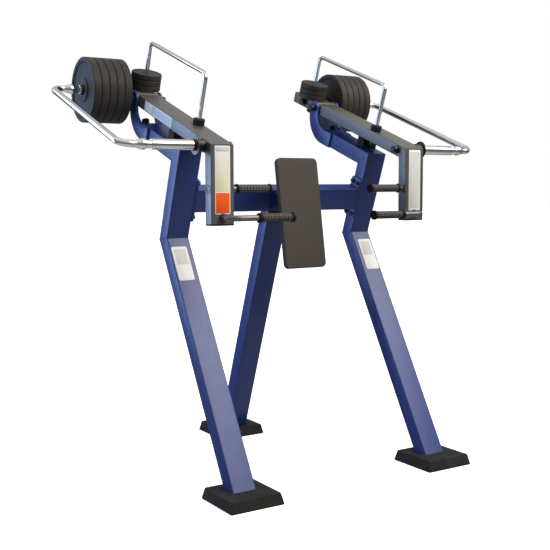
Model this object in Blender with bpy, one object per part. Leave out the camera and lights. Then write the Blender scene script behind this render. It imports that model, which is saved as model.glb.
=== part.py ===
"""Standing shoulder press machine with two independent lever arms and captive plates.

X runs from the left arm to the right arm, Y from the front to the rear, Z up. The origin is on
the floor, in the middle of the footprint. Lengths are in metres.

Arms, booms, posts, crossbeam and rear leg are all square to one slope that rises by ARM_TILT
towards the rear. A point on it is (x, s, n): s runs up the slope from the front top corner of
the arms, and n stands square to the slope.
"""
import math

import bmesh
import bpy
from mathutils import Matrix, Vector

GAP = 0.0003
BORE_GAP = 0.0001

SIDE_X = 0.560
ARM_TILT = math.radians(20)
LEG_TILT = math.radians(30)
SLOPE_Y = -0.392
SLOPE_Z = 1.593
SLOPE = Matrix.Translation((0, SLOPE_Y, SLOPE_Z)) @ Matrix.Rotation(ARM_TILT, 4, "X")

TUBE_WIDTH = 0.120
TUBE_DEPTH = 0.080
TUBE_ROUND = 0.006
TUBE_WALL = 0.004
LONG_EDGE = 0.10
OVERRUN = 0.05

FRONT_FOOT_Y = -0.549
REAR_FOOT_Y = 0.539
LEG_AXIS_Y = -0.553
POST_AXIS_Y = 0.5295
FOOT_BASE = 0.275
FOOT_TOP = 0.253
FOOT_HEIGHT = 0.053
FOOT_ROUND = 0.004
SOCKET_FLOOR = 0.022

BOOM_TOP_N = -0.120
BOOM_BOTTOM_N = -0.200
BOOM_END_S = 0.700
WEB_CORNER = (0.722, BOOM_TOP_N)
WEB_TIP = (0.8075, -0.1685)
CROSS_N = -0.379
FLANGE_INNER_X = 0.487
FLANGE_HEIGHT = 0.220
FLANGE_ROUND = 0.012

PIVOT_S = 0.838
PIVOT_N = -0.030
FORK_PLATE = 0.012
FORK_INSIDE = 0.0605
FORK_START_S = 0.632
FORK_BEND_S = 0.708
FORK_INNER_R = 0.090
FORK_OUTER_R = 0.170
FORK_EYE_R = 0.040
PIN_R = 0.010
BEARING_R = 0.018

ARM_WIDTH = 0.118
ARM_DEPTH = 0.060
ARM_ROUND = 0.006
ARM_TAIL_S = 1.071
DROP_FRONT_Y = SLOPE_Y + 0.0015
DROP_BOTTOM_Z = 1.2367
STUD_R = 0.012
CAP_NUT_R = 0.019

FRONT_SLEEVE_S = 0.070
REAR_SLEEVE_S = 0.963
SLEEVE_N = -0.028
SLEEVE_R = 0.024
NECK_R = 0.0192
CONE_R = 0.025
RAIL_R = 0.016
RAIL_X = 1.021
RAIL_BEND = 0.057
BALLS = 12
BALL_R = 0.0045
BALL_X = 0.8753

LARGE_R = 0.165
LARGE_THICK = 0.041
LARGE_BORE_R = 0.026
LARGE_COUNT = 5
LARGE_FIRST_X = 0.6545
SMALL_R = 0.0785
SMALL_THICK = 0.0290
SMALL_BORE_R = 0.0128
SMALL_COUNT = 3

SMALL_RAIL_X = 0.5305
SMALL_RAIL_R = 0.0105
SMALL_RAIL_REAR_S = 0.939
SMALL_RAIL_FRONT_S = 0.304
SMALL_RAIL_TOP_N = 0.243
SMALL_RAIL_BEND = 0.032
SMALL_NUT_R = 0.016

HANDLE_R = 0.014
GRIP_R = 0.0165
GRIP_FLANGE_R = 0.0225
UPPER_HANDLE_Y = -0.362
UPPER_HANDLE_Z = 1.394
LOWER_HANDLE_Y = -0.470
LOWER_HANDLE_Z = 1.264

PAD_HALF_WIDTH = 0.120
PAD_HEIGHT = 0.552
PAD_THICK = 0.032
PAD_CORNER = 0.024
PAD_TILT = math.radians(-9.31)
PAD_FRONT_Y = -0.1977
PAD_FRONT_Z = 1.2748

COLOURS = {
    "blue_paint": ((0.030, 0.068, 0.215), 0.38, 0.0),
    "graphite_paint": ((0.125, 0.118, 0.112), 0.45, 0.0),
    "chrome": ((0.80, 0.80, 0.80), 0.12, 1.0),
    "zinc_steel": ((0.10, 0.10, 0.11), 0.35, 1.0),
    "black_rubber": ((0.022, 0.021, 0.020), 0.75, 0.0),
    "plate_iron": ((0.030, 0.029, 0.028), 0.55, 0.0),
    "grip_rubber": ((0.028, 0.027, 0.026), 0.80, 0.0),
    "pad_cover": ((0.070, 0.062, 0.056), 0.60, 0.0),
}


def clear_scene():
    """Remove what the new file starts with."""
    for item in list(bpy.data.objects):
        bpy.data.objects.remove(item, do_unlink=True)


def make_collection(name):
    """New collection linked to the scene."""
    group = bpy.data.collections.new(name)
    bpy.context.scene.collection.children.link(group)
    return group


def make_materials():
    """One Principled material for each finish."""
    made = {}
    for name, (colour, roughness, metallic) in COLOURS.items():
        material = bpy.data.materials.new(name)
        material.use_nodes = True
        shader = material.node_tree.nodes["Principled BSDF"]
        shader.inputs["Base Color"].default_value = (*colour, 1.0)
        shader.inputs["Roughness"].default_value = roughness
        shader.inputs["Metallic"].default_value = metallic
        made[name] = material
    return made


def finish_mesh(name, bm):
    """Close a bmesh into a mesh with sound normals and soft round faces."""
    bmesh.ops.recalc_face_normals(bm, faces=bm.faces)
    mesh = bpy.data.meshes.new(name)
    bm.to_mesh(mesh)
    bm.free()
    mesh.shade_smooth()
    mesh.set_sharp_from_angle(angle=math.radians(35))
    return mesh


def add_piece(name, shape, finish, location=(0, 0, 0), tilt=0.0, parent=None):
    """Add a sub-part from a bmesh, or from a mesh that several pieces share."""
    mesh = shape if isinstance(shape, bpy.types.Mesh) else finish_mesh(name, shape)
    if not mesh.materials:
        mesh.materials.append(MATERIALS[finish])
    item = bpy.data.objects.new(name, mesh)
    item.location = location
    item.rotation_euler.x = tilt
    item.parent = parent
    PARTS.objects.link(item)
    return item


def add_cutter(name, shape, target, operation="DIFFERENCE"):
    """Cut a shape from a piece, or join it on, in the piece's own coordinates."""
    item = bpy.data.objects.new(name, finish_mesh(name, shape))
    item.location = target.location
    item.rotation_euler = target.rotation_euler
    item.parent = target.parent
    item.hide_render = True
    item.display_type = "WIRE"
    CUTTERS.objects.link(item)
    change = target.modifiers.new(name, "BOOLEAN")
    change.operation = operation
    change.solver = "EXACT"
    change.object = item
    return item


def merge(*shapes):
    """Put several separate closed shapes into one bmesh."""
    result = bmesh.new()
    for shape in shapes:
        mesh = bpy.data.meshes.new("merge")
        shape.to_mesh(mesh)
        shape.free()
        result.from_mesh(mesh)
        bpy.data.meshes.remove(mesh)
    return result


def prism(outline, low, high):
    """Extrude an outline in the YZ plane from x = low to x = high."""
    bm = bmesh.new()
    ring = [bm.verts.new((low, y, z)) for y, z in outline]
    face = bm.faces.new(ring)
    swept = bmesh.ops.extrude_face_region(bm, geom=[face])["geom"]
    moved = [part for part in swept if isinstance(part, bmesh.types.BMVert)]
    bmesh.ops.translate(bm, verts=moved, vec=(high - low, 0, 0))
    return bm


def box(x_low, x_high, y_low, y_high, z_low, z_high):
    """Box between six planes."""
    outline = [(y_low, z_low), (y_high, z_low), (y_high, z_high), (y_low, z_high)]
    return prism(outline, x_low, x_high)


def round_tube_edges(bm, radius, shortest=LONG_EDGE, across=False):
    """Round the long edges of a tube that runs in the YZ plane, or across it along X."""
    chosen = []
    for edge in bm.edges:
        run = edge.verts[1].co - edge.verts[0].co
        along_x = abs(run.x) > 0.9 * run.length
        if run.length > shortest and along_x == across:
            chosen.append(edge)
    bmesh.ops.bevel(bm, geom=chosen, offset=radius, segments=2, profile=0.5, affect="EDGES")
    return bm


def arc(centre, radius, start, end, steps):
    """Points on an arc from one angle in degrees to another, both ends included."""
    points = []
    for step in range(steps + 1):
        angle = math.radians(start + (end - start) * step / steps)
        points.append((centre[0] + radius * math.cos(angle), centre[1] + radius * math.sin(angle)))
    return points


def rounded_box_outline(half_y, half_z, radius, steps):
    """Outline of a rectangle with round corners, centred on zero."""
    y = half_y - radius
    z = half_z - radius
    outline = []
    for start, centre in ((0, (y, z)), (90, (-y, z)), (180, (-y, -z)), (270, (y, -z))):
        outline += arc(centre, radius, start, start + 90, steps)
    return outline


def lathe(profile, segments, axis="X"):
    """Turn a closed profile of (along, radius) points about the X or the Z axis."""
    bm = bmesh.new()
    about_x = axis == "X"
    ring = []
    for along, radius in profile:
        ring.append(bm.verts.new((along, radius, 0) if about_x else (radius, 0, along)))
    for place, (_, radius) in enumerate(profile):
        if radius + profile[place - 1][1] > 0:
            bm.edges.new((ring[place - 1], ring[place]))
    bmesh.ops.spin(bm, geom=bm.verts[:] + bm.edges[:], cent=(0, 0, 0), dvec=(0, 0, 0),
                   axis=(1, 0, 0) if about_x else (0, 0, 1), angle=math.tau, steps=segments,
                   use_merge=True)
    bmesh.ops.remove_doubles(bm, verts=bm.verts, dist=0.000001)
    return bm


def sweep(path, radii, resolution):
    """Round bar through the path's points, with a radius at each point and closed ends."""
    curve = bpy.data.curves.new("sweep", "CURVE")
    curve.dimensions = "3D"
    curve.bevel_depth = 1.0
    curve.bevel_resolution = resolution
    curve.use_fill_caps = True
    spline = curve.splines.new("POLY")
    spline.points.add(len(path) - 1)
    for knot, place, radius in zip(spline.points, path, radii):
        knot.co = (*place, 1.0)
        knot.radius = radius
    item = bpy.data.objects.new("sweep", curve)
    mesh = bpy.data.meshes.new_from_object(item)
    bm = bmesh.new()
    bm.from_mesh(mesh)
    bmesh.ops.remove_doubles(bm, verts=bm.verts, dist=0.00001)
    bpy.data.objects.remove(item)
    bpy.data.curves.remove(curve)
    bpy.data.meshes.remove(mesh)
    return bm


def slope_point(x, s, n):
    """World place of a point on the slope."""
    return SLOPE @ Vector((x, s, n))


def to_slope(y, z):
    """Slope coordinates (s, n) of a point in the YZ plane."""
    point = SLOPE.inverted() @ Vector((0, y, z))
    return point.y, point.z


def leg_face_y(across, z):
    """Where a face of the lower leg is at a height, across its axis by a distance."""
    return LEG_AXIS_Y + z * math.tan(LEG_TILT) + across / math.cos(LEG_TILT)


def post_face_y(across, z):
    """Where a face of the post and the rear leg is at a height."""
    return POST_AXIS_Y - z * math.tan(ARM_TILT) + across / math.cos(ARM_TILT)


def knee(across):
    """Where the lower leg's face meets the post's face."""
    slopes = math.tan(LEG_TILT) + math.tan(ARM_TILT)
    shift = across * (1 / math.cos(ARM_TILT) - 1 / math.cos(LEG_TILT))
    z = (POST_AXIS_Y - LEG_AXIS_Y + shift) / slopes
    return leg_face_y(across, z), z


def post_s():
    """The post's axis on the slope."""
    return to_slope(POST_AXIS_Y, 0)[0]


def leg_outline(face_y, half, low, high_points):
    """Side view of a leg from a level cut up to the given rear and front end points."""
    return [(face_y(-half, low), low), (face_y(half, low), low), *high_points]


def add_hollow(target, outline, width):
    """Cut a tube's inside, whose side view runs out past each open end."""
    half = width / 2 - TUBE_WALL
    add_cutter(target.name + "_hollow", prism(outline, -half, half), target)


def add_foot(name, x, y, face_y):
    """Rubber shoe with a socket for the leg's end."""
    bm = bmesh.new()
    bmesh.ops.create_cube(bm, size=1)
    for vert in bm.verts:
        width = FOOT_TOP if vert.co.z > 0 else FOOT_BASE
        vert.co = (vert.co.x * width, vert.co.y * width, (vert.co.z + 0.5) * FOOT_HEIGHT)
    top_edges = [edge for edge in bm.edges if max(v.co.z for v in edge.verts) > 0.01]
    bmesh.ops.bevel(bm, geom=top_edges, offset=FOOT_ROUND, segments=2, profile=0.5,
                    affect="EDGES")
    foot = add_piece(name, bm, "black_rubber", (x, y, 0))
    above = FOOT_HEIGHT + 0.02
    half = TUBE_DEPTH / 2 + GAP
    outline = [(face_y(-half, SOCKET_FLOOR) - y, SOCKET_FLOOR),
               (face_y(half, SOCKET_FLOOR) - y, SOCKET_FLOOR),
               (face_y(half, above) - y, above),
               (face_y(-half, above) - y, above)]
    half_width = TUBE_WIDTH / 2 + GAP
    add_cutter(name + "_socket", prism(outline, -half_width, half_width), foot)


def add_lower_leg(name, side):
    """Leaning tube from a front foot up to the knee, mitred there."""
    low = SOCKET_FLOOR + GAP
    ends = []
    for across in (TUBE_DEPTH / 2, -TUBE_DEPTH / 2):
        y, z = knee(across)
        ends.append((y - GAP * math.sin(LEG_TILT), z - GAP * math.cos(LEG_TILT)))
    outline = leg_outline(leg_face_y, TUBE_DEPTH / 2, low, ends)
    local = [(y - FRONT_FOOT_Y, z) for y, z in outline]
    bm = round_tube_edges(prism(local, -TUBE_WIDTH / 2, TUBE_WIDTH / 2), TUBE_ROUND)
    leg = add_piece(name, bm, "blue_paint", (side * SIDE_X, FRONT_FOOT_Y, 0))
    half = TUBE_DEPTH / 2 - TUBE_WALL
    high = ends[0][1] + OVERRUN
    corners = [(-half, 0), (half, 0), (half, high), (-half, high)]
    inside = [(leg_face_y(across, z) - FRONT_FOOT_Y, z) for across, z in corners]
    add_hollow(leg, inside, TUBE_WIDTH)


def post_outline(inset, overrun):
    """Side view of the post and its boom, drawn in by inset and run out past both ends."""
    front = post_s() - TUBE_DEPTH / 2 + inset
    back = post_s() + TUBE_DEPTH / 2 - inset
    knee_front = to_slope(*knee(-TUBE_DEPTH / 2))[1] - overrun
    knee_back = to_slope(*knee(TUBE_DEPTH / 2))[1] - overrun
    top = BOOM_TOP_N - inset
    bottom = BOOM_BOTTOM_N + inset
    end = BOOM_END_S + overrun
    return [(front, knee_front), (back, knee_back), (back, bottom), (end, bottom), (end, top),
            (front, top)]


def add_upper_post(name, side):
    """Post from the knee up to the boom, and the boom that runs back from it, in one."""
    shape = prism(post_outline(0, 0), -TUBE_WIDTH / 2, TUBE_WIDTH / 2)
    round_tube_edges(shape, TUBE_ROUND)
    place = slope_point(side * SIDE_X, 0, 0)
    post = add_piece(name, shape, "blue_paint", place, ARM_TILT)
    add_hollow(post, post_outline(TUBE_WALL, OVERRUN), TUBE_WIDTH)


def fork_outline():
    """Side view of a fork plate about the pivot: straight lap, quarter bend, round eye."""
    bend = (FORK_BEND_S - PIVOT_S, 0)
    start = FORK_START_S - PIVOT_S
    outline = [(start, -FORK_OUTER_R)]
    outline += arc(bend, FORK_OUTER_R, -90, 0, 8)
    outline += arc((0, 0), FORK_EYE_R, 0, 180, 8)[1:]
    outline += arc(bend, FORK_INNER_R, 0, -90, 6)[1:]
    outline.append((start, -FORK_INNER_R))
    return outline


def web_outline():
    """Side view of the solid web that closes the boom's end between the fork plates."""
    points = [(BOOM_END_S + GAP, BOOM_TOP_N), (BOOM_END_S + GAP, BOOM_BOTTOM_N),
              (WEB_CORNER[0], BOOM_BOTTOM_N), (0.772, -0.189), WEB_TIP, WEB_CORNER]
    return [(s - PIVOT_S, n - PIVOT_N) for s, n in points]


def add_clevis(name, side):
    """Fork of two bent plates, joined by a web behind the boom's end."""
    outer = FORK_INSIDE + FORK_PLATE
    plate = prism(fork_outline(), FORK_INSIDE, outer)
    place = slope_point(side * SIDE_X, PIVOT_S, PIVOT_N)
    item = add_piece(name, plate, "blue_paint", place, ARM_TILT)
    add_cutter(name + "_second", prism(fork_outline(), -outer, -FORK_INSIDE), item, "UNION")
    reach = FORK_INSIDE + FORK_PLATE / 2
    add_cutter(name + "_web", prism(web_outline(), -reach, reach), item, "UNION")
    bore_r = PIN_R + GAP
    bore = lathe([(-0.1, 0), (-0.1, bore_r), (0.1, bore_r), (0.1, 0)], 24)
    add_cutter(name + "_bore", bore, item)


def add_pivot_pin(name, side):
    """Pin through the fork with a low head outside and a cap nut inside."""
    inside = FORK_INSIDE + FORK_PLATE + GAP
    profile = [(-0.103, 0), (-0.1005, 0.0125), (-0.090, CAP_NUT_R),
               (-inside, CAP_NUT_R), (-inside, PIN_R), (inside, PIN_R), (inside, 0.017),
               (0.0815, 0.017), (0.0835, 0.015), (0.0835, 0)]
    bm = lathe([(side * x, r) for x, r in profile], 24)
    add_piece(name, bm, "zinc_steel", slope_point(side * SIDE_X, PIVOT_S, PIVOT_N), ARM_TILT)


def add_rest_bump(name, side):
    """Rubber block on the boom that the arm lies on."""
    arm_bottom = -ARM_DEPTH - GAP
    block = box(-0.0455, 0.0455, -0.0290, 0.0290, 0, arm_bottom - BOOM_TOP_N - GAP)
    bmesh.ops.bevel(block, geom=block.edges[:], offset=0.003, segments=1, affect="EDGES")
    place = slope_point(side * 0.5695, 0.4020, BOOM_TOP_N + GAP)
    add_piece(name, block, "black_rubber", place, ARM_TILT)


def add_throat_buffer(name, side):
    """Rubber buffer that stands square on the web's sloping end in the fork's throat."""
    profile = [(0, 0), (0, 0.015), (0.006, 0.015), (0.008, 0.019), (0.024, 0.019),
               (0.029, 0.014), (0.029, 0)]
    run = Vector(WEB_TIP) - Vector(WEB_CORNER)
    base = Vector(WEB_CORNER) + 0.31 * run + GAP * Vector((-run.y, run.x)).normalized()
    place = slope_point(side * 0.588, base.x, base.y)
    tilt = ARM_TILT + math.atan2(run.y, run.x)
    add_piece(name, lathe(profile, 16, "Z"), "black_rubber", place, tilt)


def add_crossbeam():
    """Tube between the posts with a flange plate at each end."""
    end = FLANGE_INNER_X + 0.006
    half_depth = TUBE_DEPTH / 2
    half_width = TUBE_WIDTH / 2
    bm = box(-end, end, -half_depth, half_depth, -half_width, half_width)
    round_tube_edges(bm, TUBE_ROUND, across=True)
    beam = add_piece("crossbeam", bm, "blue_paint", slope_point(0, post_s(), CROSS_N), ARM_TILT)
    outline = rounded_box_outline(half_depth, FLANGE_HEIGHT / 2, FLANGE_ROUND, 3)
    outer = SIDE_X - TUBE_WIDTH / 2 - GAP
    flanges = merge(prism(outline, FLANGE_INNER_X, outer), prism(outline, -outer, -FLANGE_INNER_X))
    add_cutter("crossbeam_flanges", flanges, beam, "UNION")
    half_depth -= TUBE_WALL
    half_width -= TUBE_WALL
    inside = box(-SIDE_X, SIDE_X, -half_depth, half_depth, -half_width, half_width)
    add_cutter("crossbeam_hollow", inside, beam)


def add_rear_leg():
    """Tube from the crossbeam's underside down to the rear foot."""
    top = CROSS_N - TUBE_WIDTH / 2 - GAP
    half = TUBE_DEPTH / 2
    low = SOCKET_FLOOR + GAP
    low_points = [to_slope(post_face_y(across, low), low) for across in (-half, half)]
    outline = [*low_points, (low_points[1][0], top), (low_points[0][0], top)]
    bm = round_tube_edges(prism(outline, -TUBE_WIDTH / 2, TUBE_WIDTH / 2), TUBE_ROUND)
    leg = add_piece("rear_leg", bm, "blue_paint", slope_point(0, 0, 0), ARM_TILT)
    half -= TUBE_WALL
    bottom = min(low_points[0][1], low_points[1][1]) - OVERRUN
    front = post_s() - half
    back = post_s() + half
    inside = [(front, bottom), (back, bottom), (back, top + OVERRUN), (front, top + OVERRUN)]
    add_hollow(leg, inside, TUBE_WIDTH)


def pad_point(y, z):
    """World YZ place of a point given from the middle of the pad's rear face."""
    turn = Matrix.Rotation(PAD_TILT, 4, "X")
    point = Vector((0, PAD_FRONT_Y, PAD_FRONT_Z)) + turn @ Vector((0, PAD_THICK + y, z))
    return point.y, point.z


def add_back_pad():
    """Flat padded board with round corners and a soft front edge."""
    bm = bmesh.new()
    outline = rounded_box_outline(PAD_HALF_WIDTH, PAD_HEIGHT / 2, PAD_CORNER, 4)
    ring = [bm.verts.new((x, -PAD_THICK, z)) for x, z in outline]
    front = bm.faces.new(ring)
    swept = bmesh.ops.extrude_face_region(bm, geom=[front])["geom"]
    moved = [part for part in swept if isinstance(part, bmesh.types.BMVert)]
    bmesh.ops.translate(bm, verts=moved, vec=(0, PAD_THICK, 0))
    edges = [e for e in bm.edges if abs(e.verts[0].co.y - e.verts[1].co.y) < GAP]
    front_edges = [e for e in edges if e.verts[0].co.y < -PAD_THICK / 2]
    bmesh.ops.bevel(bm, geom=front_edges, offset=0.008, segments=2, profile=0.5, affect="EDGES")
    y, z = pad_point(0, 0)
    add_piece("back_pad", bm, "pad_cover", (0, y, z), PAD_TILT)


def add_pad_bracket():
    """Steel bracket between the crossbeam's front face and the back of the pad."""
    beam_front = post_s() - TUBE_DEPTH / 2 - GAP
    foot = [(beam_front, CROSS_N - 0.050), (beam_front, CROSS_N + 0.056),
            (beam_front - 0.008, CROSS_N + 0.056), (beam_front - 0.008, CROSS_N - 0.050)]
    foot_world = [tuple(slope_point(0, s, n))[1:] for s, n in foot]
    plate_world = [pad_point(y, z) for y, z in ((GAP, -0.06), (0.006, -0.06), (0.006, 0.16),
                                                (GAP, 0.16))]
    front_low = pad_point(0.003, 0.030)
    front_high = pad_point(0.003, 0.090)
    rear_low = slope_point(0, beam_front - 0.004, CROSS_N - 0.030)
    rear_high = slope_point(0, beam_front - 0.004, CROSS_N + 0.032)
    tube_world = [front_low, (rear_low.y, rear_low.z), (rear_high.y, rear_high.z), front_high]
    bracket = add_piece("pad_bracket", prism(tube_world, -0.040, 0.040), "graphite_paint")
    add_cutter("pad_bracket_foot", prism(foot_world, -0.060, 0.060), bracket, "UNION")
    add_cutter("pad_bracket_plate", prism(plate_world, -0.075, 0.075), bracket, "UNION")


def arm_local(x, s, n):
    """Place below an arm's pivot empty, for x counted outward from the arm's centre line."""
    return (x, s - PIVOT_S, n - PIVOT_N)


def arm_outline(inset, overrun):
    """Side view of the arm: level-cut drop tube at the front, mitred to the long beam.

    It is drawn in by inset and run out past both ends by overrun.
    """
    front = DROP_FRONT_Y + inset
    back = DROP_FRONT_Y + ARM_DEPTH - inset
    top = -inset
    low = inset - ARM_DEPTH
    front_s = (front - SLOPE_Y + top * math.sin(ARM_TILT)) / math.cos(ARM_TILT)
    back_s = (back - SLOPE_Y + low * math.sin(ARM_TILT)) / math.cos(ARM_TILT)
    bottom = DROP_BOTTOM_Z - overrun
    tail = ARM_TAIL_S + overrun
    points = [(front_s, top), to_slope(front, bottom), to_slope(back, bottom), (back_s, low),
              (tail, low), (tail, top)]
    return [(s - PIVOT_S, n - PIVOT_N) for s, n in points]


def cross_bore(radius, s, n, segments=16):
    """Cylinder through an arm along X, to cut a bore."""
    bm = lathe([(-0.1, 0), (-0.1, radius), (0.1, radius), (0.1, 0)], segments)
    bmesh.ops.translate(bm, verts=bm.verts, vec=arm_local(0, s, n))
    return bm


def add_arm(name, side, pivot):
    """Lever arm with its bores, its bearing tube and the through bar of the upper handle."""
    shape = prism(arm_outline(0, 0), -ARM_WIDTH / 2, ARM_WIDTH / 2)
    round_tube_edges(shape, ARM_ROUND)
    arm = add_piece(name, shape, "graphite_paint", (0, 0, 0), 0, pivot)
    add_hollow(arm, arm_outline(TUBE_WALL, OVERRUN), ARM_WIDTH)
    handle_s, handle_n = to_slope(UPPER_HANDLE_Y, UPPER_HANDLE_Z)
    outer = ARM_WIDTH / 2 + 0.0008
    inner = 0.293 - SIDE_X
    bar = lathe([(side * x, r) for x, r in ((outer, 0), (outer, HANDLE_R + 0.002),
                                           (0, HANDLE_R + 0.002), (0, HANDLE_R),
                                           (inner, HANDLE_R), (inner, 0))], 16)
    bmesh.ops.translate(bar, verts=bar.verts, vec=arm_local(0, handle_s, handle_n))
    half = (ARM_WIDTH - TUBE_WALL) / 2
    bearing = lathe([(-half, 0), (-half, BEARING_R), (half, BEARING_R), (half, 0)], 16)
    add_cutter(name + "_cross_tubes", merge(bar, bearing), arm, "UNION")
    rail_x = side * (SMALL_RAIL_X - SIDE_X)
    bores = [cross_bore(PIN_R + BORE_GAP, PIVOT_S, PIVOT_N, 24),
             cross_bore(STUD_R + GAP, FRONT_SLEEVE_S, SLEEVE_N),
             cross_bore(STUD_R + GAP, REAR_SLEEVE_S, SLEEVE_N)]
    for s in (SMALL_RAIL_FRONT_S, SMALL_RAIL_REAR_S):
        radius = SMALL_RAIL_R + GAP
        bore = lathe([(-0.1, 0), (-0.1, radius), (0.1, radius), (0.1, 0)], 16, "Z")
        bmesh.ops.translate(bore, verts=bore.verts, vec=arm_local(rail_x, s, 0))
        bores.append(bore)
    add_cutter(name + "_bores", merge(*bores), arm)


def sleeve_place(side, s):
    """Place of a sleeve's axis below the pivot empty, at x = 0 of the machine."""
    return arm_local(-side * SIDE_X, s, SLEEVE_N)


def add_turned(name, side, profile, finish, place, pivot, segments=16):
    """Piece turned about X from a profile given in distance from the machine's middle."""
    bm = lathe([(side * x, r) for x, r in profile], segments)
    add_piece(name, bm, finish, place, 0, pivot)


def stud_profile(collar):
    """Profile of a cap nut, a stud through the arm and a collar outside."""
    inner = SIDE_X - ARM_WIDTH / 2 - GAP
    outer = SIDE_X + ARM_WIDTH / 2 + GAP
    return [(0.475, 0), (0.4775, 0.0125), (0.487, CAP_NUT_R),
            (inner, CAP_NUT_R), (inner, STUD_R), (outer, STUD_R), *collar]


def add_sleeves(prefix, side, pivot):
    """Both sleeves of an arm with their collars and studs."""
    outer = SIDE_X + ARM_WIDTH / 2 + GAP
    front = sleeve_place(side, FRONT_SLEEVE_S)
    rear = sleeve_place(side, REAR_SLEEVE_S)
    flange = [(outer, 0.031), (0.655, 0.031), (0.655, 0.043), (0.6565, 0.0445),
              (0.6595, 0.0445), (0.661, 0.043), (0.661, 0)]
    add_turned(prefix + "_front_flange", side, stud_profile(flange), "graphite_paint", front,
               pivot)
    collar = [(outer, 0.028), (0.6205, 0.030), (0.652, 0.030), (0.6535, 0.028), (0.6535, 0)]
    add_turned(prefix + "_rear_collar", side, stud_profile(collar), "graphite_paint", rear, pivot)
    groove = [(0.6613, 0), (0.6613, SLEEVE_R), (0.862, SLEEVE_R), (0.862, SLEEVE_R - 0.0012),
              (0.8635, SLEEVE_R - 0.0012), (0.8635, SLEEVE_R), (0.875, SLEEVE_R),
              (0.8766, SLEEVE_R - 0.0016), (0.8766, 0)]
    add_turned(prefix + "_front_sleeve", side, groove, "chrome", front, pivot, 20)
    add_rear_sleeve(prefix + "_rear_sleeve", side, rear, pivot)


def add_rear_sleeve(name, side, place, pivot):
    """Sleeve under the parked plates, with a ring of balls that holds them at its end."""
    core_end = 0.8847
    profile = [(0.6538, 0), (0.6538, SLEEVE_R), (0.864, SLEEVE_R), (0.866, SLEEVE_R - 0.002),
               (0.866, NECK_R), (core_end, NECK_R), (core_end, 0)]
    bm = lathe([(side * x, r) for x, r in profile], 20)
    sleeve = add_piece(name, bm, "chrome", place, 0, pivot)
    balls = bmesh.new()
    for number in range(BALLS):
        angle = math.tau * (number + 0.5) / BALLS
        spot = Vector((side * BALL_X, NECK_R * math.cos(angle), NECK_R * math.sin(angle)))
        turn = Matrix.Rotation(angle, 4, "X")
        bmesh.ops.create_icosphere(balls, subdivisions=1, radius=BALL_R,
                                   matrix=Matrix.Translation(spot) @ turn)
    add_cutter(name + "_balls", balls, sleeve, "UNION")


def add_large_rail(name, side, pivot):
    """Bent bar that leads the large plates from the rear sleeve to the front sleeve."""
    bend_x = RAIL_X - RAIL_BEND
    front = (bend_x, FRONT_SLEEVE_S + RAIL_BEND)
    rear = (bend_x, REAR_SLEEVE_S - RAIL_BEND)
    turns = arc(front, RAIL_BEND, -90, 0, 7) + arc(rear, RAIL_BEND, 0, 90, 7)
    front_steps = [(0.8769, NECK_R), (0.905, NECK_R), (0.9055, 0.0235), (0.908, CONE_R),
                   (0.949, RAIL_R + 0.0005)]
    rear_steps = [(0.957, RAIL_R + 0.0005), (0.9155, CONE_R), (0.913, 0.0235),
                  (0.9125, NECK_R), (0.885, NECK_R)]
    path = [(x, FRONT_SLEEVE_S) for x, _ in front_steps] + turns
    path += [(x, REAR_SLEEVE_S) for x, _ in rear_steps]
    radii = [r for _, r in front_steps] + [RAIL_R] * len(turns) + [r for _, r in rear_steps]
    local = [arm_local(side * (x - SIDE_X), s, SLEEVE_N) for x, s in path]
    centre = arm_local(side * (RAIL_X - SIDE_X), (FRONT_SLEEVE_S + REAR_SLEEVE_S) / 2, SLEEVE_N)
    shape = sweep([Vector(point) - Vector(centre) for point in local], radii, 3)
    add_piece(name, shape, "chrome", centre, 0, pivot)


def add_small_rail(name, side, pivot):
    """Inverted U over the arm that leads the small plates, with a nut below each leg."""
    turn_n = SMALL_RAIL_TOP_N - SMALL_RAIL_BEND
    front = (SMALL_RAIL_FRONT_S + SMALL_RAIL_BEND, turn_n)
    rear = (SMALL_RAIL_REAR_S - SMALL_RAIL_BEND, turn_n)
    turns = arc(front, SMALL_RAIL_BEND, 180, 90, 5) + arc(rear, SMALL_RAIL_BEND, 90, 0, 5)
    nut_top = -ARM_DEPTH - GAP
    foot = [(nut_top - 0.019, SMALL_NUT_R - 0.002), (nut_top - 0.017, SMALL_NUT_R),
            (nut_top - 0.0003, SMALL_NUT_R), (nut_top, SMALL_RAIL_R)]
    path = [(SMALL_RAIL_FRONT_S, n) for n, _ in foot] + turns
    path += [(SMALL_RAIL_REAR_S, n) for n, _ in reversed(foot)]
    radii = [r for _, r in foot] + [SMALL_RAIL_R] * len(turns) + [r for _, r in reversed(foot)]
    centre = (SMALL_RAIL_FRONT_S + SMALL_RAIL_REAR_S) / 2
    place = arm_local(side * (SMALL_RAIL_X - SIDE_X), centre, 0)
    shape = sweep([Vector((0, s - centre, n)) for s, n in path], radii, 3)
    add_piece(name, shape, "chrome", place, 0, pivot)


def add_rubber_stop(name, side, pivot):
    """Double rubber disc round the small rail's front leg."""
    bore = SMALL_RAIL_R + GAP
    profile = [(GAP, bore), (GAP, 0.026), (0.002, 0.028), (0.012, 0.0285), (0.0145, 0.0255),
               (0.017, 0.0285), (0.026, 0.028), (0.028, 0.026), (0.028, bore)]
    place = arm_local(side * (SMALL_RAIL_X - SIDE_X), SMALL_RAIL_FRONT_S, 0)
    add_piece(name, lathe(profile, 16, "Z"), "black_rubber", place, 0, pivot)


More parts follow.
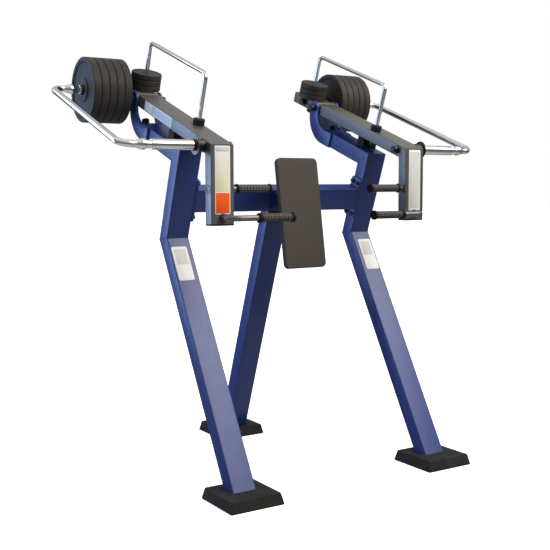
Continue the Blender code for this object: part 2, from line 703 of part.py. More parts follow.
def grip_profile(arm_end, free_end, arm_flange, free_flange):
    """Profile of a grip: blind bore, a flange at each end, barrel between."""
    bore = HANDLE_R + GAP
    return [(arm_end, bore), (arm_end, GRIP_FLANGE_R), (arm_end - arm_flange, GRIP_FLANGE_R),
            (arm_end - arm_flange, GRIP_R), (free_end + free_flange, GRIP_R),
            (free_end + free_flange, GRIP_FLANGE_R), (free_end + 0.0015, GRIP_FLANGE_R),
            (free_end, GRIP_FLANGE_R - 0.0015), (free_end, 0), (free_end + 0.0017, 0),
            (free_end + 0.0017, bore)]


def add_handles(prefix, side, pivot):
    """Upper grip on its stub, and the bent lower handle with its grip."""
    upper = to_slope(UPPER_HANDLE_Y, UPPER_HANDLE_Z)
    lower = to_slope(LOWER_HANDLE_Y, LOWER_HANDLE_Z)
    add_turned(prefix + "_upper_grip", side, grip_profile(0.476, 0.291, 0.010, 0.014),
               "grip_rubber", arm_local(-side * SIDE_X, *upper), pivot)
    add_turned(prefix + "_lower_grip", side, grip_profile(0.423, 0.230, 0.019, 0.019),
               "grip_rubber", arm_local(-side * SIDE_X, *lower), pivot)
    bend = 0.055
    centre = (SIDE_X - bend, LOWER_HANDLE_Y + bend)
    path = [(SIDE_X, DROP_FRONT_Y - GAP)] + arc(centre, bend, 0, -90, 6)
    path.append((0.2320, LOWER_HANDLE_Y))
    local = []
    for x, y in path:
        s, n = to_slope(y, LOWER_HANDLE_Z)
        local.append(Vector(arm_local(side * (x - SIDE_X), s, n)))
    place = local[0]
    shape = sweep([point - place for point in local], [HANDLE_R] * len(local), 4)
    add_piece(prefix + "_lower_handle", shape, "graphite_paint", place, 0, pivot)


def mirrored_profile(half):
    """Close a half section of (along, radius) points with its mirror image."""
    return half + [(-along, radius) for along, radius in reversed(half)]


def large_plate_mesh():
    """Cast plate with a raised hub, a sunk web and a raised rim, turned about X."""
    face = LARGE_THICK / 2
    half = [(face - 0.001, LARGE_BORE_R), (face - 0.001, 0.059), (face - 0.009, 0.065),
            (face - 0.009, 0.135), (face, 0.143), (face, LARGE_R)]
    return finish_mesh("large_plate", lathe(mirrored_profile(half), 20))


def small_plate_mesh():
    """Small cast plate with a raised hub and rim, turned about Z."""
    face = SMALL_THICK / 2
    half = [(face, SMALL_BORE_R), (face, 0.028), (face - 0.004, 0.031), (face - 0.004, 0.061),
            (face, 0.065), (face, SMALL_R)]
    return finish_mesh("small_plate", lathe(mirrored_profile(half), 14, "Z"))


def add_plates(prefix, side, pivot, large_mesh, small_mesh):
    """Parked plates: the large ones on the rear sleeve, the small ones on the rail's leg."""
    for number in range(LARGE_COUNT):
        x = LARGE_FIRST_X + LARGE_THICK / 2 + number * (LARGE_THICK + GAP)
        place = arm_local(side * (x - SIDE_X), REAR_SLEEVE_S, SLEEVE_N)
        name = f"{prefix}_large_plate_{number + 1}"
        add_piece(name, large_mesh, "plate_iron", place, 0, pivot)
    for number in range(SMALL_COUNT):
        n = GAP + SMALL_THICK / 2 + number * (SMALL_THICK + GAP)
        place = arm_local(side * (SMALL_RAIL_X - SIDE_X), SMALL_RAIL_REAR_S, n)
        name = f"{prefix}_small_plate_{number + 1}"
        add_piece(name, small_mesh, "plate_iron", place, 0, pivot)


def add_side_frame(prefix, side):
    """One side of the fixed frame."""
    add_foot(prefix + "_front_foot", side * SIDE_X, FRONT_FOOT_Y, leg_face_y)
    add_lower_leg(prefix + "_lower_leg", side)
    add_upper_post(prefix + "_upper_post", side)
    add_clevis(prefix + "_clevis", side)
    add_pivot_pin(prefix + "_pivot_pin", side)
    add_rest_bump(prefix + "_rest_bump", side)
    add_throat_buffer(prefix + "_throat_buffer", side)


def add_lever_arm(prefix, side, large_mesh, small_mesh):
    """One lever arm with all that rides on it, below an empty on its pivot axis."""
    pivot = bpy.data.objects.new(prefix + "_arm_pivot", None)
    pivot.location = slope_point(side * SIDE_X, PIVOT_S, PIVOT_N)
    pivot.rotation_euler.x = ARM_TILT
    pivot.empty_display_size = 0.05
    PARTS.objects.link(pivot)
    add_arm(prefix + "_arm", side, pivot)
    add_sleeves(prefix, side, pivot)
    add_large_rail(prefix + "_large_rail", side, pivot)
    add_small_rail(prefix + "_small_rail", side, pivot)
    add_rubber_stop(prefix + "_rubber_stop", side, pivot)
    add_handles(prefix, side, pivot)
    add_plates(prefix, side, pivot, large_mesh, small_mesh)


def build():
    """Build the whole machine."""
    add_foot("rear_foot", 0, REAR_FOOT_Y, post_face_y)
    add_rear_leg()
    add_crossbeam()
    add_pad_bracket()
    add_back_pad()
    large_mesh = large_plate_mesh()
    small_mesh = small_plate_mesh()
    for prefix, side in (("left", -1), ("right", 1)):
        add_side_frame(prefix, side)
        add_lever_arm(prefix, side, large_mesh, small_mesh)


clear_scene()
PARTS = make_collection("shoulder_press")
CUTTERS = make_collection("cutters")
MATERIALS = make_materials()
build()
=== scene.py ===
"""Looks of the standing shoulder press machine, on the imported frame.

Lengths are in metres. Most pieces are square to one slope that rises by ARM_TILT to the rear:
its coordinates (x, s, n) run across, up the slope and square to it.
"""
from math import cos, pi, radians, sin, tan, tau

import bpy
import numpy as np
from mathutils import Matrix, Vector


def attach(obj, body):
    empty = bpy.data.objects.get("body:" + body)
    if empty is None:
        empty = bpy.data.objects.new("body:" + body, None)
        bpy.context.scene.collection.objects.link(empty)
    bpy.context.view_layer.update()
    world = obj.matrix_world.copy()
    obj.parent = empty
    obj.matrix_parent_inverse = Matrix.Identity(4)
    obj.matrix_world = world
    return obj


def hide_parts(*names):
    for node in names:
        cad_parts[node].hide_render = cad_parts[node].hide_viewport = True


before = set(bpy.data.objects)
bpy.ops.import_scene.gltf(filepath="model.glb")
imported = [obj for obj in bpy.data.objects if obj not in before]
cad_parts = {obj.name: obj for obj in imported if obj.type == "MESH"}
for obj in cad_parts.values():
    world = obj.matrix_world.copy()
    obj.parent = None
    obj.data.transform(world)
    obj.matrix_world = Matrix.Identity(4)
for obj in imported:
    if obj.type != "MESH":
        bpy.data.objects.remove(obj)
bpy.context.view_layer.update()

SIDES = (("left", -1), ("right", 1))
SIDE_X = 0.56
ARM_TILT = radians(20)
LEG_TILT = radians(30)
SLOPE_Y = -0.392
SLOPE_Z = 1.593
COS = cos(ARM_TILT)
SIN = sin(ARM_TILT)
ACROSS, REARWARD, UPWARD = np.eye(3)
UP_SLOPE = np.array((0.0, COS, SIN))
OFF_SLOPE = np.array((0.0, -SIN, COS))
GAP = 0.0003
SHARP_ANGLE = radians(32)

TUBE_WIDTH = 0.12
TUBE_DEPTH = 0.08
TUBE_ROUND = 0.006
FRONT_FOOT_Y = -0.549
REAR_FOOT_Y = 0.539
LEG_AXIS_Y = -0.553
POST_AXIS_Y = 0.5295
SOCKET_FLOOR = 0.0223
BOOM_TOP_N = -0.12
BOOM_BOTTOM_N = -0.2
BOOM_END_S = 0.7
CROSS_N = -0.379
FLANGE_INNER_X = 0.487
FLANGE_OUTER_X = 0.4997
WEB_CORNER = np.array((0.722, -0.12))
WEB_TIP = np.array((0.8075, -0.1685))

PIVOT_S = 0.838
PIVOT_N = -0.03
FORK_START_S = 0.632
FORK_BEND_S = 0.708
FORK_INSIDE = 0.0605
FORK_OUTSIDE = 0.0725
FORK_OUTER_BEND = 0.17
FORK_INNER_BEND = 0.09
EYE_R = 0.04
BEARING_R = 0.036
PIVOT_CAP_END = 0.103
CAP_R = 0.0195
WASHER_THICK = 0.0025
REST_X = 0.5695
REST_S = 0.402
BUFFER_X = 0.588
BUFFER_SHARE = 0.31
FLANGE_HALF = 0.11
FLANGE_BOLT_S = 0.022
FLANGE_BOLT_N = 0.088

ARM_WIDTH = 0.118
ARM_DEPTH = 0.06
ARM_TAIL_S = 1.071
DROP_FRONT_Y = -0.3905
DROP_BOTTOM_Z = 1.2367
ARM_INNER_X = SIDE_X - ARM_WIDTH / 2
ARM_OUTER_X = SIDE_X + ARM_WIDTH / 2

FRONT_S = 0.07
REAR_S = 0.963
SLEEVE_N = -0.028
SLEEVE_R = 0.024
NECK_R = 0.0192
RAIL_R = 0.016
RAIL_X = 1.021
RAIL_BEND = 0.057
BALLS = 12
BALL_X = 0.8753
BALL_R = 0.0045

LARGE_R = 0.165
LARGE_THICK = 0.041
LARGE_FIRST_X = 0.6545
SMALL_R = 0.0785
SMALL_THICK = 0.029

SMALL_X = 0.5305
SMALL_RAIL_R = 0.0105
SMALL_REAR_S = 0.939
SMALL_FRONT_S = 0.304
SMALL_TOP_N = 0.243
SMALL_BEND = 0.032

HANDLE_R = 0.014
UPPER_HANDLE_END = 0.2985
LOWER_HANDLE_END = 0.2345
GRIP_R = 0.019
GRIP_FLANGE_R = 0.0232
GRIP_PITCH = 0.016
GRIP_ROWS = 10
DIMPLE_DEPTH = 0.0026
DIMPLE_R = 0.0037
DIMPLE_TURN = 0.39
UPPER_HANDLE = np.array((0.0, -0.362, 1.394))
LOWER_HANDLE = np.array((0.0, -0.47, 1.264))
HANDLE_BEND = 0.055

FILM_LIFT = 0.0001
FILM_THICK = 0.0003

PAD_HALF_WIDTH = 0.12
PAD_HALF_HEIGHT = 0.276
PAD_THICK = 0.032
PAD_TILT = radians(-9.31)
PAD_UP = np.array((0.0, -sin(PAD_TILT), cos(PAD_TILT)))
PAD_OUT = np.array((0.0, -cos(PAD_TILT), -sin(PAD_TILT)))
PAD_REAR = np.array((0.0, -0.1977, 1.2748)) - PAD_OUT * PAD_THICK
BOARD_THICK = 0.006
FOOT_THICK = 0.008
BRACKET_HALF = 0.03


# Places


def slope(points):
    """World places of (x, s, n) points: s and n are turned by the arm's tilt about X."""
    points = np.asarray(points, float)
    x, s, n = points[..., 0], points[..., 1], points[..., 2]
    return np.stack([x, SLOPE_Y + s * COS - n * SIN, SLOPE_Z + s * SIN + n * COS], -1)


def facing(origin, along, up):
    """Map for flat pieces: (level, a, b) goes to origin + a along + b up + level along x up."""
    out = np.cross(along, up)

    def place(points):
        points = np.asarray(points, float)
        level, a, b = (points[..., k, None] for k in range(3))
        return origin + a * along + b * up + level * out

    return place


# s of the floor's point at POST_AXIS_Y: the turn of slope() undone
POST_S = (POST_AXIS_Y - SLOPE_Y) * COS - SLOPE_Z * SIN
KNEE_Z = (POST_AXIS_Y - LEG_AXIS_Y) / (tan(LEG_TILT) + tan(ARM_TILT))
KNEE = np.array((LEG_AXIS_Y + KNEE_Z * tan(LEG_TILT), KNEE_Z))
KNEE_LEAN = (ARM_TILT + LEG_TILT) / 2


# Outlines and surfaces. A shape is its points and its faces, and the faces point out.


def arc(centre, radius, start, end, steps):
    """Points at even angles, in degrees, on a circle about a centre."""
    angle = np.radians(np.linspace(start, end, steps + 1))
    return np.stack([centre[0] + radius * np.cos(angle), centre[1] + radius * np.sin(angle)], -1)


def rounded_box(half_a, half_b, radius, steps=5):
    """Outline of a rectangle whose corners are quarter circles."""
    a, b = half_a - radius, half_b - radius
    corners = ((a, b), (-a, b), (-a, -b), (a, -b))
    return np.concatenate([arc(corner, radius, 90 * turn, 90 * turn + 90, steps)
                           for turn, corner in enumerate(corners)])


def across_at(x, outline):
    """Outline in the last two coordinates, at one value of the first."""
    return np.insert(outline, 0, x, axis=1)


def level_at(outline, z):
    """Outline in the first two coordinates, at one value of the last."""
    return np.insert(outline, 2, z, axis=1)


def unit_rows(vectors):
    """Vectors brought to unit length."""
    return vectors / np.linalg.norm(vectors, axis=1, keepdims=True)


def filleted(points, radius, steps=3, closed=False):
    """Polyline with each corner replaced by a quadratic curve between two cut points.

    The cuts lie radius from the corner, or 0.45 of the shorter side if that is less.
    """
    p = np.asarray(points, float)
    before, corner, after = p[:-2], p[1:-1], p[2:]
    if closed:
        before, corner, after = np.roll(p, 1, 0), p, np.roll(p, -1, 0)
    one, two = before - corner, after - corner
    one_length = np.linalg.norm(one, axis=1, keepdims=True)
    two_length = np.linalg.norm(two, axis=1, keepdims=True)
    cut = np.minimum(radius, 0.45 * np.minimum(one_length, two_length))
    a = (corner + one / one_length * cut)[:, None]
    b = (corner + two / two_length * cut)[:, None]
    t = np.linspace(0, 1, steps + 1)[None, :, None]
    curve = (1 - t) ** 2 * a + 2 * t * (1 - t) * corner[:, None] + t ** 2 * b
    curve = curve.reshape(-1, p.shape[1])
    return curve if closed else np.concatenate([p[:1], curve, p[-1:]])


def even(points, spacing, closed=False):
    """Polyline resampled at an even spacing along its length."""
    p = np.asarray(points, float)
    if closed:
        p = np.concatenate([p, p[:1]])
    length = np.concatenate([[0], np.cumsum(np.linalg.norm(np.diff(p, axis=0), axis=1))])
    count = max(8, int(length[-1] / spacing))
    t = np.linspace(0, length[-1], count, endpoint=not closed)
    return np.stack([np.interp(t, length, p[:, k]) for k in range(p.shape[1])], -1)


def skin(rings, capped=True):
    """Surface through closed rings in order; each end ring is closed by one flat face.

    The faces are turned over where the signed volume, the sum of the corner products of all
    faces fanned from their first corners, comes out negative.
    """
    rings = np.asarray(rings, float)
    count, around = rings.shape[:2]
    row, column = np.indices((count - 1 if capped else count, around))
    row2 = (row + 1) % count
    column2 = (column + 1) % around
    quads = np.stack([row * around + column, row * around + column2, row2 * around + column2,
                      row2 * around + column], -1).reshape(-1, 4)
    points = rings.reshape(-1, 3)
    middle = points.mean(0)
    a, b, c, d = (points[quads[:, k]] - middle for k in range(4))
    volume = np.sum(a * np.cross(b, c)) + np.sum(a * np.cross(c, d))
    faces = quads.tolist()
    if capped:
        first = np.arange(around)
        for end in (first[::-1], (count - 1) * around + first):
            ring = points[end] - middle
            volume += np.sum(np.cross(ring[1:-1], ring[2:]) @ ring[0])
            faces.append(end.tolist())
    if volume < 0:
        faces = [face[::-1] for face in faces]
    return points, faces


def spokes(axis, around):
    """Unit vectors square to an axis, at even angles once round it."""
    u = np.cross(axis, (0.0, 0.3, 1.0))
    u /= np.linalg.norm(u)
    t = np.linspace(0, tau, around, endpoint=False)[:, None]
    return np.cos(t) * u + np.sin(t) * np.cross(axis, u)


def turned(profile, origin, axis, around=64, closed=False):
    """Surface of revolution: (along, radius) goes to origin + along * axis + radius * spoke."""
    profile = np.asarray(profile, float)[:, :, None, None]
    rings = origin + profile[:, 0] * axis + profile[:, 1] * spokes(axis, around)
    return skin(rings, capped=not closed)


def nut(low, high, half_flats, origin, axis, edge=0.0008):
    """Hexagon nut: at each level the smaller of the hexagon's radius and a circle's.

    The circle is drawn in at both ends, which chamfers the corners.
    """
    t = np.linspace(0, tau, 72, endpoint=False)
    hexagon = half_flats / np.cos((t + pi / 6) % (pi / 3) - pi / 6)
    levels = np.array([low, low + edge, high - edge, high])
    limit = half_flats * np.array([0.98, 1.16, 1.16, 0.98])
    radius = np.minimum(hexagon[None], limit[:, None])
    return skin(origin + levels[:, None, None] * axis + radius[..., None] * spokes(axis, 72))


def rod(path, radii, flat, around=40, closed=False):
    """Round bar: a circle of the local radius set square to a flat path at each of its points."""
    radii = np.broadcast_to(radii, len(path))
    flat = np.asarray(flat, float) / np.linalg.norm(flat)
    steps = unit_rows(np.roll(path, -1, 0) - path)
    tangent = steps + np.roll(steps, 1, 0)
    if not closed:
        tangent[0], tangent[-1] = steps[0], steps[-2]
    side = np.cross(unit_rows(tangent), flat)
    angle = np.linspace(0, tau, around, endpoint=False)
    circle = np.cos(angle)[None, :, None] * side[:, None] + np.sin(angle)[None, :, None] * flat
    return skin(path[:, None] + radii[:, None, None] * circle, capped=not closed)


def weld(line, flat, radius=0.002, closed=True):
    """Weld bead: a small round bar along a flat line, swelling once every 3 mm."""
    path = even(line, 0.0006, closed)
    swell = 1 + 0.16 * np.sin(tau / 5 * np.arange(len(path)))
    return rod(path, radius * swell, flat, 10, closed)


def section(place, mitre, x, width, depth, corner):
    """Rounded rectangle in 3-D: its width runs along X, its depth along a YZ vector."""
    outline = rounded_box(width / 2, depth / 2, corner)
    return np.column_stack([x + outline[:, 0], place + outline[:, 1:] * mitre])


def tube(path, x, width=TUBE_WIDTH, depth=TUBE_DEPTH, corner=TUBE_ROUND, ends=(0.0, 0.0)):
    """Rectangular tube along a path in the YZ plane, mitred where the path turns.

    A rounded rectangle is set at each point. Its depth lies along the mitre, stretched by one
    over the cosine of half the turn. ends gives the angle by which each end cut leans over.
    """
    path = np.asarray(path, float)
    steps = unit_rows(np.diff(path, axis=0))
    before = np.concatenate([steps[:1], steps])
    tangent = unit_rows(before + np.concatenate([steps, steps[-1:]]))
    stretch = 1 / np.sum(tangent * before, axis=1)
    lean = np.zeros(len(path))
    lean[0], lean[-1] = ends
    square = np.stack([-tangent[:, 1], tangent[:, 0]], -1)
    mitre = (square + np.tan(lean)[:, None] * tangent) * stretch[:, None]
    return skin([section(p, m, x, width, depth, corner) for p, m in zip(path, mitre)])


def plate(outline, low, high, edge=0.0012, place=slope):
    """Flat plate: an outline in the last two coordinates between two values of the first.

    Its rims are rounded by pulling the outline in along the mean of its side normals.
    """
    side = np.roll(outline, -1, axis=0) - outline
    normal = unit_rows(np.stack([side[:, 1], -side[:, 0]], -1))
    mean = normal + np.roll(normal, 1, axis=0)
    mean /= np.maximum(np.sum(mean * normal, axis=1, keepdims=True), 0.3)
    x, y = outline.T
    turn = np.sign(np.sum(x * np.roll(y, -1) - y * np.roll(x, -1)))
    rings = []
    for level, inset in ((low, edge), (low + 0.29 * edge, 0.29 * edge), (low + edge, 0.0),
                         (high - edge, 0.0), (high - 0.29 * edge, 0.29 * edge), (high, edge)):
        ring = outline - mean * inset * turn
        rings.append(across_at(level, ring))
    return skin(place(rings))


def add_piece(name, shapes, finish, body, *nodes, slot_name=None, raised=None):
    """One object from closed shapes, with its finish, body and replaced nodes.

    slot_name is not used. raised gives, for each point of the first shape, how far it stands out of
    its dimples.
    """
    points, faces, start = [], [], 0
    for shape_points, shape_faces in shapes:
        points.append(shape_points)
        faces += [[corner + start for corner in face] for face in shape_faces]
        start += len(shape_points)
    mesh = bpy.data.meshes.new(name)
    mesh.from_pydata(np.concatenate(points).tolist(), [], faces)
    mesh.shade_smooth()
    mesh.set_sharp_from_angle(angle=SHARP_ANGLE)
    mesh.materials.append(finish)
    if raised is not None:
        values = np.zeros(len(mesh.vertices), np.float32)
        values[:len(raised)] = raised
        mesh.attributes.new("raised", "FLOAT", "POINT").data.foreach_set("value", values)
    item = linked(name, mesh)
    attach(item, body)
    if nodes:
        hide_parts(*nodes)
    return item


def add_side(prefix, body, rows):
    """Pieces of one side on one body, from rows of name, shapes, finish and replaced nodes."""
    for name, shapes, finish, *nodes in rows:
        nodes = [f"{prefix}_{node}" for node in nodes]
        add_piece(f"{prefix}_{name}", shapes, finish, body, *nodes)


def linked(name, data):
    """New object for some data, in the scene's collection."""
    item = bpy.data.objects.new(name, data)
    bpy.context.scene.collection.objects.link(item)
    return item


# Finishes


class Nodes:
    """Short way to add and join the nodes of a material or world."""

    def __init__(self, owner):
        owner.use_nodes = True
        self.tree = owner.node_tree

    def add(self, kind, inputs=None, **settings):
        """New node with its settings, and with values or joins for its inputs."""
        node = self.tree.nodes.new(kind)
        for key, value in settings.items():
            setattr(node, key, value)
        for key, value in (inputs or {}).items():
            self.join(value, node.inputs[key])
        return node

    def join(self, value, socket):
        """Join an output to a socket, or set the socket's own value."""
        if isinstance(value, bpy.types.NodeSocket):
            self.tree.links.new(value, socket)
        else:
            socket.default_value = value


class Finish(Nodes):
    """A material's nodes, with patterns in object space."""

    def __init__(self, name):
        self.material = bpy.data.materials.new(name)
        super().__init__(self.material)
        self.shader = self.tree.nodes["Principled BSDF"]
        self.where = self.add("ShaderNodeTexCoord").outputs["Object"]

    def noise(self, scale, detail=2.0, rough=0.5):
        """Value of a noise in object space."""
        inputs = {"Vector": self.where, "Scale": scale, "Detail": detail, "Roughness": rough}
        return self.add("ShaderNodeTexNoise", inputs).outputs["Fac"]

    def span(self, value, low, high, out_low=0.0, out_high=1.0):
        """Value carried from one range to another and held inside it."""
        inputs = {"Value": value, "From Min": low, "From Max": high, "To Min": out_low,
                  "To Max": out_high}
        return self.add("ShaderNodeMapRange", inputs).outputs["Result"]

    def blend(self, factor, one, two):
        """Colour between two colours."""
        node = self.add("ShaderNodeMix", data_type="RGBA")
        for value, number in ((factor, 0), (one, 6), (two, 7)):
            self.join(value, node.inputs[number])
        return node.outputs[2]

    def bump(self, height, strength, distance):
        """Bump from a height, into the shader's normal."""
        inputs = {"Height": height, "Strength": strength, "Distance": distance}
        self.join(self.add("ShaderNodeBump", inputs).outputs["Normal"],
                  self.shader.inputs["Normal"])

    def done(self, **sockets):
        """Set or join the shader's own sockets and give back the material."""
        for name, value in sockets.items():
            self.join(value, self.shader.inputs[name.replace("_", " ")])
        return self.material


def coat(name, one, two, rough, peel, drift=(3.0, 4.0), share=(0.35, 0.65), grain=(700.0, 2.0),
         depth=0.0004, sheen=(45.0, 3.0), **sockets):
    """Coat of two tones: slow drift between them, fine peel or grain, and faint gloss drift.

    drift, grain and sheen are the scale, detail and roughness of a noise each. share is the
    part of the first that runs from tone to tone, and rough the range that the last gives.
    """
    f = Finish(name)
    tone = f.blend(f.span(f.noise(*drift), *share), (*one, 1), (*two, 1))
    f.bump(f.noise(*grain), peel, depth)
    gloss = f.span(f.noise(*sheen), 0.3, 0.7, *rough)
    return f.done(Base_Color=tone, Roughness=gloss, **sockets)


def polished_chrome():
    """Polished chrome with the faintest haze and tone drift."""
    f = Finish("polished_chrome")
    haze = f.span(f.noise(35.0, 4.0), 0.35, 0.75, 0.11, 0.15)
    tone = f.blend(f.noise(8.0), (0.86, 0.86, 0.87, 1), (0.78, 0.785, 0.8, 1))
    return f.done(Base_Color=tone, Roughness=haze, Metallic=1.0)


def grip_rubber():
    """Grip rubber: near black on the flanges and paler between the dimples; the dimples are near
    black as painted shade.
    """
    f = Finish("grip_rubber")
    raised = f.add("ShaderNodeAttribute", attribute_name="raised").outputs["Fac"]
    crest_tone = f.blend(f.noise(60.0, 3.0), (0.098, 0.088, 0.08, 1), (0.114, 0.103, 0.094, 1))
    # Painted shade: the near-black tone fills the dimples, where raised is low; the flanges, with
    # raised 0 all over, take it as their own black.
    tone = f.blend(f.span(raised, 0.1, 0.9), (0.003, 0.003, 0.003, 1), crest_tone)
    f.bump(f.noise(900.0, 2.0), 0.3, 0.0003)
    gloss = f.span(f.noise(22.0, 3.0), 0.3, 0.7, 0.55, 0.65)
    return f.done(Base_Color=tone, Roughness=gloss, Specular_IOR_Level=0.2)


def pad_skin():
    """Dense moulded skin: fine pebbles between shallow creases, duller on the pebbles."""
    f = Finish("pad_skin")
    pebble = f.add("ShaderNodeTexVoronoi", {"Vector": f.where, "Scale": 620.0}).outputs["Distance"]
    tone = f.blend(f.span(f.noise(2.5, 2.0), 0.3, 0.7), (0.075, 0.066, 0.059, 1),
                   (0.082, 0.073, 0.065, 1))
    f.bump(pebble, 0.2, 0.0003)
    gloss = f.span(pebble, 0.1, 0.7, 0.62, 0.54)
    return f.done(Base_Color=tone, Roughness=gloss, Specular_IOR_Level=0.14)


def printed_film(name, colour, low_colour=None, low_z=0.0, high_z=1.0):
    """Printed film, a little uneven, and fading to a second colour from high_z down to low_z."""
    f = Finish(name)
    tone = (*colour, 1)
    if low_colour:
        place = f.add("ShaderNodeSeparateXYZ", {"Vector": f.where}).outputs["Z"]
        tone = f.blend(f.span(place, low_z, high_z), (*low_colour, 1), tone)
    aged = f.span(f.noise(30.0, 3.0), 0.3, 0.7, 0.0, 0.05)
    tone = f.blend(aged, tone, (0.45, 0.4, 0.3, 1))
    f.bump(f.noise(120.0, 2.0), 0.1, 0.0003)
    return f.done(Base_Color=tone, Roughness=0.42, Specular_IOR_Level=0.18)


BLUE = coat("blue_powder_coat", (0.011, 0.036, 0.2), (0.015, 0.042, 0.219), (0.33, 0.4), 0.3,
            Specular_IOR_Level=0.66)
GRAPHITE = coat("graphite_powder_coat", (0.178, 0.168, 0.16), (0.2, 0.19, 0.181), (0.35, 0.42),
                0.4, Metallic=0.7)
STEEL = coat("black_plated_steel", (0.012, 0.012, 0.013), (0.02, 0.0195, 0.019), (0.33, 0.4),
             0.15, Metallic=0.1)
RUBBER = coat("black_rubber", (0.017, 0.0155, 0.014), (0.027, 0.025, 0.023), (0.67, 0.77), 0.5,
              (14.0, 4.0), (0.45, 0.75), (500.0, 3.0), 0.0005, (22.0, 3.0),
              Specular_IOR_Level=0.22)
PLATE = coat("plate_enamel", (0.043, 0.0385, 0.034), (0.05, 0.045, 0.04), (0.48, 0.55), 0.25,
             (6.0, 3.0), grain=(480.0, 3.0, 0.6), sheen=(40.0, 2.0), Specular_IOR_Level=0.17)
CHROME = polished_chrome()
GRIP = grip_rubber()
PAD = pad_skin()
WHITE_FILM = printed_film("white_film", (0.96, 0.96, 0.96))
CREAM_FILM = printed_film("cream_film", (0.88, 0.87, 0.84), (0.95, 0.94, 0.56), 1.39, 1.53)
GREY_FILM = printed_film("grey_film", (0.72, 0.715, 0.71))
ORANGE_FILM = printed_film("orange_film", (0.96, 0.105, 0.003))
BLUE_FILM = printed_film("pale_blue_film", (0.62, 0.7, 0.84))


# Frame


def knee_weld(x):
    """Bead round the mitre of leg and post, on the plane that halves their angle."""
    middle = (LEG_TILT - ARM_TILT) / 2
    mitre = np.array((-cos(middle), sin(middle))) / cos(KNEE_LEAN)
    loop = section(KNEE, mitre, x, TUBE_WIDTH, TUBE_DEPTH, TUBE_ROUND)
    return weld(loop, (0, sin(middle), cos(middle)))


def shoe(x, y, lean, axis_y):
    """Rubber shoe: rounded squares from a rolled base lip up to the round rim.

    They narrow there to the rounded hole that the leg goes into, and run down inside it.
    """
    rings = []
    for z, half in ((0.0, 0.135), (0.0025, 0.1375), (0.0085, 0.1375), (0.01, 0.1366),
                    (0.049, 0.1276), (0.052, 0.126), (0.053, 0.123)):
        rings.append(level_at(rounded_box(half, half, 0.008) + (x, y), z))
    half_depth = TUBE_DEPTH / 2 / cos(lean)
    for z, room in ((0.053, 0.0045), (0.0515, 0.0012), (0.05, 0.0004), (0.022, 0.0004)):
        outline = rounded_box(TUBE_WIDTH / 2 + room, half_depth + room, TUBE_ROUND)
        rings.append(level_at(outline + (x, axis_y + z * tan(lean)), z))
    return skin(rings)


def fork(x):
    """Both fork plates with the web between them, and beads along the ends of their laps.

    The plates' outline is a straight lap, a quarter bend and a round eye.
    """
    bend = (FORK_BEND_S, PIVOT_N)
    low, high = PIVOT_N - FORK_OUTER_BEND, PIVOT_N - FORK_INNER_BEND
    side = np.concatenate([[(FORK_START_S, low)], arc(bend, FORK_OUTER_BEND, -90, 0, 40),
                           arc((PIVOT_S, PIVOT_N), EYE_R, 0, 180, 32)[1:],
                           arc(bend, FORK_INNER_BEND, 0, -90, 28)[1:], [(FORK_START_S, high)]])
    web_s = BOOM_END_S + GAP
    web = filleted([(web_s, BOOM_TOP_N), (web_s, BOOM_BOTTOM_N), (0.722, BOOM_BOTTOM_N),
                    (0.772, -0.189), WEB_TIP, WEB_CORNER], 0.004, closed=True)
    inner = (x - FORK_INSIDE, x + FORK_INSIDE)
    ends = [slope([(edge, FORK_START_S, high), (edge, FORK_START_S, low)]) for edge in inner]
    return [plate(side, x - FORK_OUTSIDE, inner[0], 0.0016),
            plate(side, inner[1], x + FORK_OUTSIDE, 0.0016), plate(web, *inner, 0.002),
            *(weld(end, UP_SLOPE, 0.0028, closed=False) for end in ends)]


def capped_nut(low, high, origin, axis):
    """Moulded cap over a nut: a straight side, a shallow ring and a rounded, dished end."""
    profile = [(low, CAP_R), (low + 0.003, CAP_R), (low + 0.0034, 0.0189), (low + 0.0042, 0.0189),
               (low + 0.0046, 0.0194), (high - 0.0045, 0.0191), (high - 0.0012, 0.0173),
               (high - 0.0002, 0.0145), (high - 0.0014, 0.0129), (high - 0.0014, 0.001)]
    return turned(filleted(profile, 0.0009), origin, axis)


def washer(start, thick, inner, outer, origin, axis):
    """Flat washer with eased rims."""
    ring = [(start, inner), (start, outer), (start + thick, outer), (start + thick, inner)]
    return turned(filleted(ring, 0.0005, 2, closed=True), origin, axis, 56, closed=True)


def pivot_bolt(side):
    """Pin's low round head outside, its washer and capped nut inside."""
    origin = slope((side * SIDE_X, PIVOT_S, PIVOT_N))
    out = side * ACROSS
    start = FORK_OUTSIDE + GAP
    head = filleted([(start, 0.017), (0.0815, 0.017), (0.0835, 0.0145), (0.0836, 0.007),
                     (0.0822, 0.0055), (0.0822, 0.001)], 0.0012)
    return [turned(head, origin, out), washer(start, WASHER_THICK, 0.0105, 0.0205, origin, -out),
            capped_nut(start + WASHER_THICK, PIVOT_CAP_END, origin, -out)]


def rest_block(side):
    """Moulded block on the boom: rounded rectangles, drawn in at the bottom and top rims."""
    height = -ARM_DEPTH - GAP - BOOM_TOP_N - GAP
    steps = ((0.0, 0.0014), (0.0005, 0.0004), (0.0014, 0.0), (height - 0.002, 0.0),
             (height - 0.0006, 0.0006), (height, 0.002))
    rings = [level_at(rounded_box(0.0455 - inset, 0.029 - inset, 0.0025), level)
             for level, inset in steps]
    return skin(slope(np.array(rings) + (side * REST_X, REST_S, BOOM_TOP_N + GAP)))


def throat_buffer(side):
    """Buffer on the web's sloping end: stem, then a waisted head with a domed end."""
    run = WEB_TIP - WEB_CORNER
    base = WEB_CORNER + BUFFER_SHARE * run
    run = run / np.linalg.norm(run)
    profile = filleted([(GAP, 0.015), (0.006, 0.015), (0.008, 0.019), (0.015, 0.019),
                        (0.0165, 0.0178), (0.018, 0.019), (0.024, 0.019),
                        (0.0285, 0.014), (0.0292, 0.001)], 0.0016)
    origin = slope((side * BUFFER_X, *base))
    return turned(profile, origin, -run[1] * UP_SLOPE + run[0] * OFF_SLOPE, 48)


